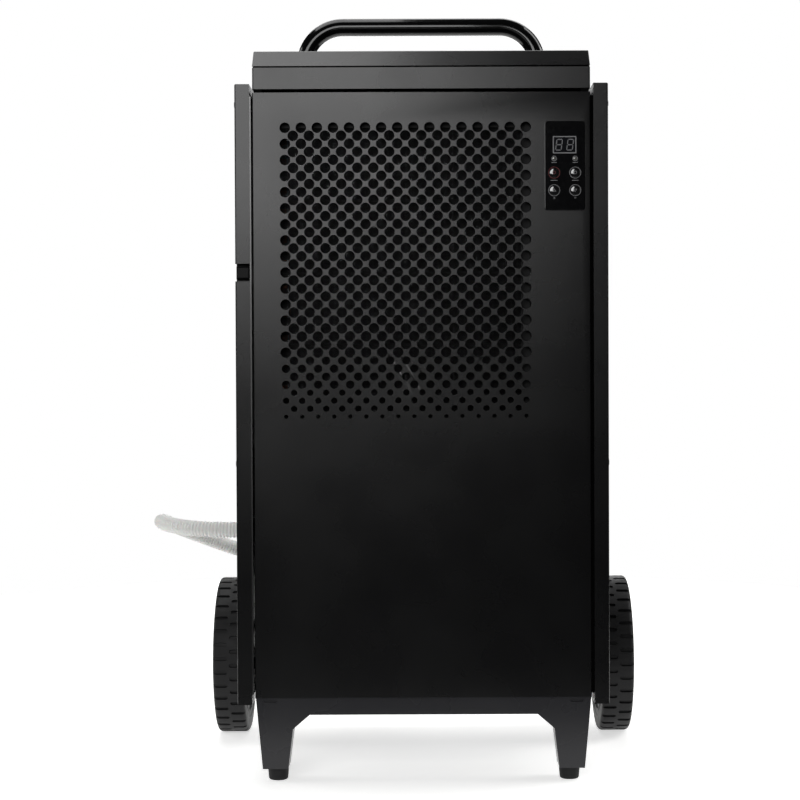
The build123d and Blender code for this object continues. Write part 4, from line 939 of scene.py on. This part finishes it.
def groove_cutter(side):
    """A slot across half the tread, round at its inner end."""
    half = GROOVE_WIDTH / 2
    end = side * (CENTRE_BAND / 2 + half)
    outline = [(side * (CENTRE_BAND / 2 + GROOVE_LENGTH + GROOVE_REACH), -half * side), (end, -half * side)]
    outline += [(end - side * half * math.sin(math.radians(a)), -side * half * math.cos(math.radians(a)))
                for a in (20, 40, 60, 80, 100, 120, 140, 160)]
    outline += [(end, half * side), (side * (CENTRE_BAND / 2 + GROOVE_LENGTH + GROOVE_REACH), half * side)]
    bm = bmesh.new()
    floor_z = TYRE_RADIUS - GROOVE_DEPTH
    low = [bm.verts.new((x, y * 0.72, floor_z)) for x, y in outline]
    high = [bm.verts.new((x, y * 1.25, floor_z + 8 * MM)) for x, y in outline]
    bm.faces.new(low)
    bm.faces.new(high)
    band(bm, low, high)
    return tool("groove_cutter", bm)


def make_tyres():
    """Solid rubber tyres: two staggered rows of grooves either side of a smooth band, and plain walls."""
    low, high = node_box("tyre_right")
    middle_x, half = (low.x + high.x) / 2, (high.x - low.x) / 2
    bore, shoulder = TYRE_BORE, TYRE_SHOULDER
    corner = rounded_corner((half - shoulder, TYRE_RADIUS - shoulder), shoulder, 0, 6)
    side_line = [
        (half, bore), (half, bore + 2 * MM), (half - 1.2 * MM, bore + 3.5 * MM),
        (half - 1.2 * MM, bore + 9 * MM), (half, bore + 11 * MM), (half, TYRE_RADIUS - shoulder - 2 * MM)]
    right = side_line + corner
    crown_top = [(x * MM, TYRE_RADIUS) for x in (10, 5, 0, -5, -10)]
    profile = right + crown_top + [(-x, r) for x, r in reversed(right)]
    for body, name, sign in (("right_wheel", "tyre_right", 1), ("left_wheel", "tyre_left", -1)):
        centre = (sign * middle_x, WHEEL_Y, WHEEL_Z)
        bm = lathe(profile, TYRE_STEPS, "X", centre)
        bm.verts.ensure_lookup_table()
        first, last = bm.verts[:TYRE_STEPS], bm.verts[-TYRE_STEPS:]
        for k in range(TYRE_STEPS):
            n = (k + 1) % TYRE_STEPS
            bm.faces.new((first[k], last[k], last[n], first[n]))
        base = mesh_of(bm, 30)
        step = math.pi / GROOVES
        mesh = grown(base, [
            (grooved, {"Cutter": groove_out, "Count": GROOVES, "Centre": centre, "First Turn": 0.0,
                       "Material": finish["tyre_rubber"]}),
            (grooved, {"Cutter": groove_in, "Count": GROOVES, "Centre": centre, "First Turn": step,
                       "Material": finish["tyre_rubber"]})])
        keep(name + "_tread", shaded(mesh, 32), body, "tyre_rubber", (name,))


# ---------------------------------------------------------------- handle
HANDLE_RADIUS = 12.5 * MM
HANDLE_BEND = 55 * MM


def make_handle():
    """The bent tube with smooth bends."""
    low, high = node_box("handle_tube")
    x, y = high.x - HANDLE_RADIUS, (low.y + high.y) / 2
    bar_z = high.z - HANDLE_RADIUS
    path = [Vector((-x, y, low.z))]
    for centre_x, start in ((-x + HANDLE_BEND, 180), (x - HANDLE_BEND, 90)):
        for k in range(19):
            turn = math.radians(start - 5 * k)
            path.append(Vector((centre_x + HANDLE_BEND * math.cos(turn), y,
                                bar_z - HANDLE_BEND + HANDLE_BEND * math.sin(turn))))
    path.append(Vector((x, y, low.z)))
    bm = bmesh.new()
    rings = tube_rings(bm, path, [HANDLE_RADIUS] * len(path), 40)
    for ring in (rings[0], rings[-1]):
        bm.faces.new(ring)
    keep("handle_tube_bent", mesh_of(bm, 40), "chassis", "enamel_gloss_black", ("handle_tube",))


# ---------------------------------------------------------------- trims of the case
TRIM_WIDTH = 1.9 * MM
TRIM_SETBACK = 1.0 * MM
TRIM_DEPTH = 3.4 * MM
TRIM_END_GAP = 5 * MM               # short of the panel's top and bottom
# the dull black strips below are painted shade, put in the seam and joint where there is only shade
SHADE_STRIP_SETBACK = 1.0 * MM
SHADE_STRIP_WIDTH = 2.2 * MM
SHADE_STRIP_HEIGHT = 1.8 * MM
SHADE_STRIP_CLEARANCE = 0.1 * MM


def make_cover_trim():
    """Glossy edge trim on the left cover, a thin line in its joint, and a dull black strip of painted shade
    in the right joint.
    """
    cover_low, cover_high = node_box("side_cover_left")
    panel_low, panel_high = node_box("front_panel")
    bm = bmesh.new()
    middle = (cover_high.x - 0.2 * MM + TRIM_WIDTH / 2, (panel_low.z + panel_high.z) / 2)
    outline = round_rect(middle, (TRIM_WIDTH, panel_high.z - panel_low.z - 2 * TRIM_END_GAP), 0.5 * MM)
    front = cover_low.y + TRIM_SETBACK
    extruded(bm, outline, front, front + TRIM_DEPTH)
    keep("cover_edge_trim", mesh_of(bm), "chassis", "foot_rubber", material=trim_pvc)
    bm = bmesh.new()
    front = panel_low.y + SHADE_STRIP_SETBACK
    far_x = node_box("side_cover_right")[0].x + SHADE_STRIP_CLEARANCE
    add_box(bm, (panel_high.x, front, panel_low.z + TRIM_END_GAP),
            (far_x, front + SHADE_STRIP_WIDTH, panel_high.z - TRIM_END_GAP))
    keep("cover_joint_foam", mesh_of(bm, 0), "chassis", "foot_rubber", material=painted_shade_black)


def make_seam_painted_shade():
    """Painted shade: a dull black strip all round in the seam between the lid and the band below it."""
    low, high = node_box("top_cover")
    low, high = low + Vector((1, 1, 0)) * SHADE_STRIP_SETBACK, high - Vector((1, 1, 0)) * SHADE_STRIP_SETBACK
    z0 = low.z + SHADE_STRIP_CLEARANCE
    z1 = z0 + SHADE_STRIP_HEIGHT
    bm = bmesh.new()
    ring_low = [(low.x, low.y), (high.x, low.y), (high.x, high.y), (low.x, high.y)]
    inner = SHADE_STRIP_WIDTH
    ring_in = [(low.x + inner, low.y + inner), (high.x - inner, low.y + inner),
               (high.x - inner, high.y - inner), (low.x + inner, high.y - inner)]
    rings = [[bm.verts.new((x, y, z)) for x, y in ring] for ring, z in
             ((ring_low, z0), (ring_low, z1), (ring_in, z1), (ring_in, z0))]
    for first, second in zip(rings, rings[1:] + rings[:1]):
        band(bm, first, second)
    keep("lid_seam_foam", mesh_of(bm, 0), "chassis", "foot_rubber", material=painted_shade_black)


# ---------------------------------------------------------------- filter screen and fins
THREAD_PITCH = 1.6 * MM
THREAD = 0.75 * MM
FIN_PITCH = 2.0 * MM
FIN_THICKNESS = 0.15 * MM
FIN_WAVE = 2.4 * MM                 # the foil's corrugation, which closes the straight view through the pack
FIN_FOLDS = 4
FIN_LIFT = 28 * MM                  # the foils' lower edge above the deck
END_PLATE = 1.5 * MM
END_GAP = 4 * MM                    # between an end plate's outer face and the nearest foil


def make_filter_screen():
    """Nylon threads both ways, one set just behind the other."""
    low, high = node_box("filter_mesh")
    meshes = []
    for axis in (0, 2):
        count = int((high[axis] - low[axis]) / THREAD_PITCH)
        start = (low[axis] + high[axis] - (count - 1) * THREAD_PITCH) / 2
        bm = bmesh.new()
        a, b = low.copy(), high.copy()
        a[axis], b[axis] = start - THREAD / 2, start + THREAD / 2
        a.y = (low.y + high.y) / 2 - (THREAD * 0.8 if axis else 0)
        b.y = a.y + THREAD * 0.8
        add_box(bm, a, b)
        step = [0.0, 0.0, 0.0]
        step[axis] = THREAD_PITCH
        meshes.append(grown(mesh_of(bm, 0), [
            (row_of_copies, {"Count": count, "Step": step, "Material": finish["filter_weave"]})]))
    mesh = plain_mesh("screen", joined(meshes))
    keep("filter_screen", mesh, "air_filter", "filter_weave", ("filter_mesh",))


def make_fins():
    """Corrugated foil fins, drawn 2 mm apart, between the two end plates of each heat exchanger."""
    for node in ("evaporator_fins", "condenser_fins"):
        low, high = node_box(node)
        foil_low = DECK_TOP_Z + FIN_LIFT
        plates = bmesh.new()
        for x in (low.x, high.x - END_PLATE):
            add_box(plates, (x, low.y, low.z), (x + END_PLATE, high.y, high.z))
        count = int((high.x - low.x - 2 * END_GAP) / FIN_PITCH)
        start = low.x + END_GAP
        bm = bmesh.new()
        folds = [(start + FIN_WAVE / 2 * (-1) ** k, low.y + (high.y - low.y) * k / FIN_FOLDS)
                 for k in range(FIN_FOLDS + 1)]
        outline = folds + [(x + FIN_THICKNESS, y) for x, y in reversed(folds)]
        rings = [[bm.verts.new((x, y, z)) for x, y in outline] for z in (foil_low, high.z)]
        band(bm, *rings)
        foils = grown(mesh_of(bm, 0), [(row_of_copies, {
            "Count": count, "Step": (FIN_PITCH, 0.0, 0.0), "Material": finish["fin_aluminium"]})])
        mesh = plain_mesh(node, joined([foils, mesh_of(plates, 0)]))
        keep(node + "_foil", mesh, "chassis", "fin_aluminium", (node,))


# ---------------------------------------------------------------- screws
COVER_SCREW_Y = (-210.7 * MM, 136.7 * MM)
COVER_SCREW_Z = (150 * MM, 400 * MM, 850 * MM)
REAR_SCREW_X = 203.7 * MM
REAR_SCREW_Z = (200 * MM, 500 * MM, 780 * MM)
CLAMP_X = 169 * MM
CLAMP_SCREW_OFFSET = 21.5 * MM      # from the clamp's middle
CLAMP_SCREW_Z = (600 * MM, 830 * MM)
CLAMP_EAR = 2 * MM
HEAD_RADIUS, HEAD_HEIGHT, HEAD_ROUND = 4.5 * MM, 2.0 * MM, 1.3 * MM
RECESS_DEPTH = 1.1 * MM


def screw_head():
    """Pan head with a cross recess; its seat is at the origin and it points along +Z."""
    radius, height = HEAD_RADIUS, HEAD_HEIGHT
    profile = [(0, 0), (0, radius * 0.96), (0.3 * MM, radius)]
    for angle in (0, 20, 40, 60, 80):
        turn = math.radians(angle)
        profile.append((height - HEAD_ROUND * (1 - math.sin(turn)),
                        radius - HEAD_ROUND * (1 - math.cos(turn))))
    profile += [(height, radius * 0.5), (height, 0)]
    head = mesh_of(lathe(profile, 32, "Z"), 40)
    bm = bmesh.new()
    arm = 0.45 * MM
    reach = 2.1 * MM
    plus = [(arm, reach), (-arm, reach), (-arm, arm), (-reach, arm), (-reach, -arm), (-arm, -arm),
            (-arm, -reach), (arm, -reach), (arm, -arm), (reach, -arm), (reach, arm), (arm, arm)]
    loops = [[bm.verts.new((x * k, y * k, z)) for x, y in plus]
             for k, z in ((0.75, height - RECESS_DEPTH), (1.0, height + 1 * MM))]
    bm.faces.new(loops[0])
    bm.faces.new(loops[1])
    band(bm, *loops)
    cutter = solid_object("recess", bm)
    item = bpy.data.objects.new("screw_head", head)
    for part in (cutter, item):
        bpy.context.scene.collection.objects.link(part)
        part.hide_render = True
        tools.append(part)
    subtract(item, cutter)
    return item


def make_screws():
    """The side covers', rear panel's and clamps' screws."""
    head = screw_head()
    quarter_turn = math.pi / 2
    cover_x = node_box("side_cover_right")[1].x
    rear_y = node_box("rear_panel")[1].y
    rear = [(side * REAR_SCREW_X, rear_y, z) for side in (-1, 1) for z in REAR_SCREW_Z]
    clamp = [(side * CLAMP_X + ear * CLAMP_SCREW_OFFSET, rear_y + CLAMP_EAR, z)
             for side in (-1, 1) for ear in (-1, 1) for z in CLAMP_SCREW_Z]
    groups = [
        ([(cover_x, y, z) for y in COVER_SCREW_Y for z in COVER_SCREW_Z], (0.0, quarter_turn, 0.0)),
        ([(-cover_x, y, z) for y in COVER_SCREW_Y for z in COVER_SCREW_Z], (0.0, -quarter_turn, 0.0)),
        (rear + clamp, (-quarter_turn, 0.0, 0.0)),
    ]
    meshes = [grown(points_mesh(places), [
        (copies, {"Shape": head, "Turn": turn, "Material": finish["blackened_steel"]})])
        for places, turn in groups]
    keep("panel_screw_heads", mesh_of(joined(meshes), 35), "chassis", "blackened_steel", ("panel_screws",))


# ---------------------------------------------------------------- control panel
BEZEL_X, BEZEL_Z = 178.2 * MM, 770.3 * MM
BEZEL_SIZE = (50.6 * MM, 111 * MM)
BEZEL_CORNER = 3.5 * MM
BEZEL_EDGE = 0.8 * MM
BEZEL_FACE, PANEL_FACE = -230.2 * MM, -228 * MM
WINDOW_SIZE = (29.7 * MM, 21.9 * MM)
WINDOW_Z = 796.25 * MM
LAMP_Z = 779.2 * MM
COLUMNS_X = (165.1 * MM, 191.3 * MM)
BUTTON_ROWS_Z = (761.6 * MM, 739.7 * MM)
BUTTON_RADIUS = 6 * MM
BUTTON_GAP = 0.3 * MM
INK = 0.05 * MM                     # height of a print


def make_bezel():
    """Glossy moulding with a rounded edge, a window recess and round wells."""
    bm = bmesh.new()
    layers = [(PANEL_FACE, 0.0)]
    for k in range(6):
        turn = math.radians(18 * k)
        layers.append((BEZEL_FACE + BEZEL_EDGE * (1 - math.sin(turn)), BEZEL_EDGE * (1 - math.cos(turn))))
    layers.append((BEZEL_FACE, BEZEL_EDGE + 0.3 * MM))      # keeps the rounding's shading off the flat face
    rings = []
    for y, inset in layers:
        size = (BEZEL_SIZE[0] - 2 * inset, BEZEL_SIZE[1] - 2 * inset)
        outline = round_rect((BEZEL_X, BEZEL_Z), size, BEZEL_CORNER - inset, 8)
        rings.append([bm.verts.new((x, y, z)) for x, z in outline])
    for low, high in zip(rings, rings[1:]):
        band(bm, low, high)
    bm.faces.new(rings[0])
    bm.faces.new(rings[-1])
    front, back = BEZEL_FACE - 1 * MM, PANEL_FACE + 1 * MM
    cuts = [("block", (BEZEL_X, WINDOW_Z), WINDOW_SIZE, front, back)]
    cuts += [("hole", (x, LAMP_Z), 2.6 * MM, front, back) for x in COLUMNS_X]
    cuts += [("hole", (x, z), BUTTON_RADIUS + BUTTON_GAP, front, back)
             for x in COLUMNS_X for z in BUTTON_ROWS_Z]
    mesh = carved(mesh_of(bm, 30), cuts)
    rim = bmesh.new()
    rim_size = (BEZEL_SIZE[0] - 11 * MM, BEZEL_SIZE[1] - 11 * MM)
    inner = (rim_size[0] - 4 * MM, rim_size[1] - 4 * MM)
    ring_slab(rim, round_rect((BEZEL_X, BEZEL_Z), rim_size, 1 * MM, 3),
              round_rect((BEZEL_X, BEZEL_Z), inner, 1 * MM, 3), PANEL_FACE, PANEL_FACE + 6 * MM)
    bm = joined([mesh, mesh_of(rim, 30)])
    keep("control_bezel_moulding", mesh_of(bm, 30), "chassis", "bezel_abs", ("control_bezel",))


def print_piece(name, bm, body, slot, material):
    keep(name, mesh_of(bm, 30), body, slot, (), material)


def make_window():
    """Smoked window, its printed border and two unlit slanted digits under it."""
    face = BEZEL_FACE + 0.2 * MM
    bm = bmesh.new()
    pane = (WINDOW_SIZE[0] - 0.2 * MM, WINDOW_SIZE[1] - 0.2 * MM)
    extruded(bm, round_rect((BEZEL_X, WINDOW_Z), pane, 0.7 * MM, 3), face, PANEL_FACE)
    keep("display_window_acrylic", mesh_of(bm, 30), "chassis", "window_acrylic", ("display_window",))
    border = bmesh.new()
    outer = (WINDOW_SIZE[0] - 0.4 * MM, WINDOW_SIZE[1] - 0.4 * MM)
    inner = (outer[0] - 2.6 * MM, outer[1] - 2.6 * MM)
    ring_slab(border, round_rect((BEZEL_X, WINDOW_Z), outer, 0.8 * MM, 3),
              round_rect((BEZEL_X, WINDOW_Z), inner, 0.5 * MM, 3), face - INK, face)
    print_piece("window_border", border, "chassis", "window_acrylic", ink_grey)
    digits = bmesh.new()
    for offset in (-6.9 * MM, 6.9 * MM):
        draw_digit(digits, BEZEL_X + offset, WINDOW_Z, face)
    print_piece("display_segments", digits, "chassis", "window_acrylic", ink_dim)


def draw_digit(bm, x, z, face):
    """The seven bars of one digit, leaning to the right."""
    half_wide, half_high, bar, lean = 3.5 * MM, 3.3 * MM, 0.65 * MM, 0.14
    trim = 0.35 * MM
    for row in (-1, 0, 1):
        middle = z + row * 2 * half_high
        reach = half_wide - bar - trim
        points = [(-reach, bar), (-reach - bar, 0), (-reach, -bar), (reach, -bar), (reach + bar, 0),
                  (reach, bar)]
        extruded(bm, [(x + px + lean * (middle + pz - z), middle + pz) for px, pz in points],
                 face - INK, face)
    for side in (-1, 1):
        for row in (-1, 1):
            middle = z + row * half_high
            reach = half_high - bar - trim
            points = [(bar, -reach), (0, -reach - bar), (-bar, -reach), (-bar, reach), (0, reach + bar),
                      (bar, reach)]
            extruded(bm, [(x + side * half_wide + px + lean * (middle + pz - z), middle + pz)
                          for px, pz in points], face - INK, face)


def make_lamps():
    """Domed lenses, with a grey ring round each that is painted highlight for the reflection on the lens rim,
    and a printed bar under each.
    """
    bm = bmesh.new()
    meshes = []
    for x in COLUMNS_X:
        radius, crown = 2.5 * MM, 0.4 * MM
        profile = [(PANEL_FACE + 6 * MM, 0), (PANEL_FACE + 6 * MM, radius)]
        for k in range(7):
            turn = math.radians(15 * k)
            profile.append((BEZEL_FACE + 0.2 * MM - (crown + 0.2 * MM) * math.sin(turn),
                            radius * math.cos(turn)))
        profile[-1] = (profile[-1][0], 0)
        meshes.append(mesh_of(lathe(profile, 28, "Y", (x, 0, LAMP_Z)), 40))
        # painted highlight: a grey ring for the reflection round the lens rim
        ring_slab(bm, circle((x, LAMP_Z), 3.3 * MM), circle((x, LAMP_Z), 2.75 * MM),
                  BEZEL_FACE - INK, BEZEL_FACE)
        extruded(bm, round_rect((x, LAMP_Z - 5.0 * MM), (6.5 * MM, 0.7 * MM), 0.3 * MM, 2),
                 BEZEL_FACE - INK, BEZEL_FACE)
    keep("led_lens_domes", mesh_of(joined(meshes), 40), "chassis", "lens_acrylic", ("led_lenses",))
    print_piece("lamp_rings", bm, "chassis", "bezel_abs", ink_grey)


def make_buttons():
    """Domed caps with a shallow dish, printed rings on the bezel and simple signs."""
    signs = (("power", 0, 0), ("timer", 1, 0), ("up", 0, 1), ("down", 1, 1))
    grey = bmesh.new()
    red = bmesh.new()
    for name, column, row in signs:
        x, z = COLUMNS_X[column], BUTTON_ROWS_Z[row]
        low, high = node_box("button_" + name)
        top, back = low.y, BEZEL_FACE + 3.7 * MM
        round_off = 1.2 * MM
        profile = [(high.y, 0), (high.y, 2.5 * MM), (back, 2.5 * MM), (back, BUTTON_RADIUS)]
        for k in range(6):
            turn = math.radians(18 * k)
            profile.append((top + 0.35 * MM + round_off * (1 - math.sin(turn)),
                            BUTTON_RADIUS - round_off * (1 - math.cos(turn))))
        for k in (3, 2, 1):
            radius = (BUTTON_RADIUS - round_off) * k / 4
            profile.append((top + 0.35 * MM * (radius / BUTTON_RADIUS) ** 2, radius))
        profile.append((top, 0))
        body = name + "_button"
        keep("button_" + name + "_cap", mesh_of(lathe(profile, 40, "Y", (x, 0, z)), 30), body, "button_abs",
             ("button_" + name,))
        sign = bmesh.new()
        if row:
            point = 1 if name == "up" else -1
            outer = [(x, z + point * 2.4 * MM), (x - 2.3 * MM, z - point * 1.6 * MM),
                     (x + 2.3 * MM, z - point * 1.6 * MM)]
            inner = [(x, z + point * 1.2 * MM), (x - 1.25 * MM, z - point * 1.0 * MM),
                     (x + 1.25 * MM, z - point * 1.0 * MM)]
        else:
            outer, inner = circle((x, z), 2.0 * MM), circle((x, z), 1.5 * MM)
        ring_slab(sign, outer, inner, top - 0.02 * MM, top + 0.25 * MM)
        print_piece("sign_" + name, sign, body, "button_abs", ink_red if name == "power" else ink_grey)
        ring_slab(red if name == "power" else grey, circle((x, z), 7.3 * MM, 48),
                  circle((x, z), 6.7 * MM, 48), BEZEL_FACE - INK, BEZEL_FACE)
        under = z - 9.6 * MM
        if row:
            bars = [(2.4 * MM, 0.7 * MM)] + ([(0.7 * MM, 2.4 * MM)] if name == "up" else [])
        else:
            bars = [(8.5 * MM, 0.7 * MM)]
        for depth, size in enumerate(bars):
            extruded(grey, round_rect((x, under), size, 0.3 * MM, 2),
                     BEZEL_FACE - INK * (1 + 0.2 * depth), BEZEL_FACE)
    print_piece("bezel_print", grey, "chassis", "bezel_abs", ink_grey)
    print_piece("power_ring", red, "chassis", "bezel_abs", ink_red)


# ---------------------------------------------------------------- everything in order
WHEEL_Y, WHEEL_Z, TYRE_RADIUS = 121 * MM, 110 * MM, 110 * MM
DECK_TOP_Z = node_box("deck")[1].z

dress_cad_nodes()
make_camera()
make_studio()
make_hose()

punched, row_of_copies, grooved, copies = punched_sheet_tree(), row_tree(), ring_cut_tree(), scatter_tree()
punch = hole_cutter()
back_punch = tool("back_punch", lathe([
    (SHEET, 0), (SHEET, 1.07), (0.0, 1.07), (-0.15 * MM, 1.02), (-0.4 * MM, 1.0), (-3 * SHEET, 1.0),
    (-3 * SHEET, 0)], 28, "Y"))
groove_out, groove_in = groove_cutter(1), groove_cutter(-1)
make_front_panel()
make_rear_panel()
make_tyres()
make_handle()
make_cover_trim()
make_seam_painted_shade()
make_filter_screen()
make_fins()
make_screws()
make_bezel()
make_window()
make_lamps()
make_buttons()
for item in tools:
    bpy.data.objects.remove(item)
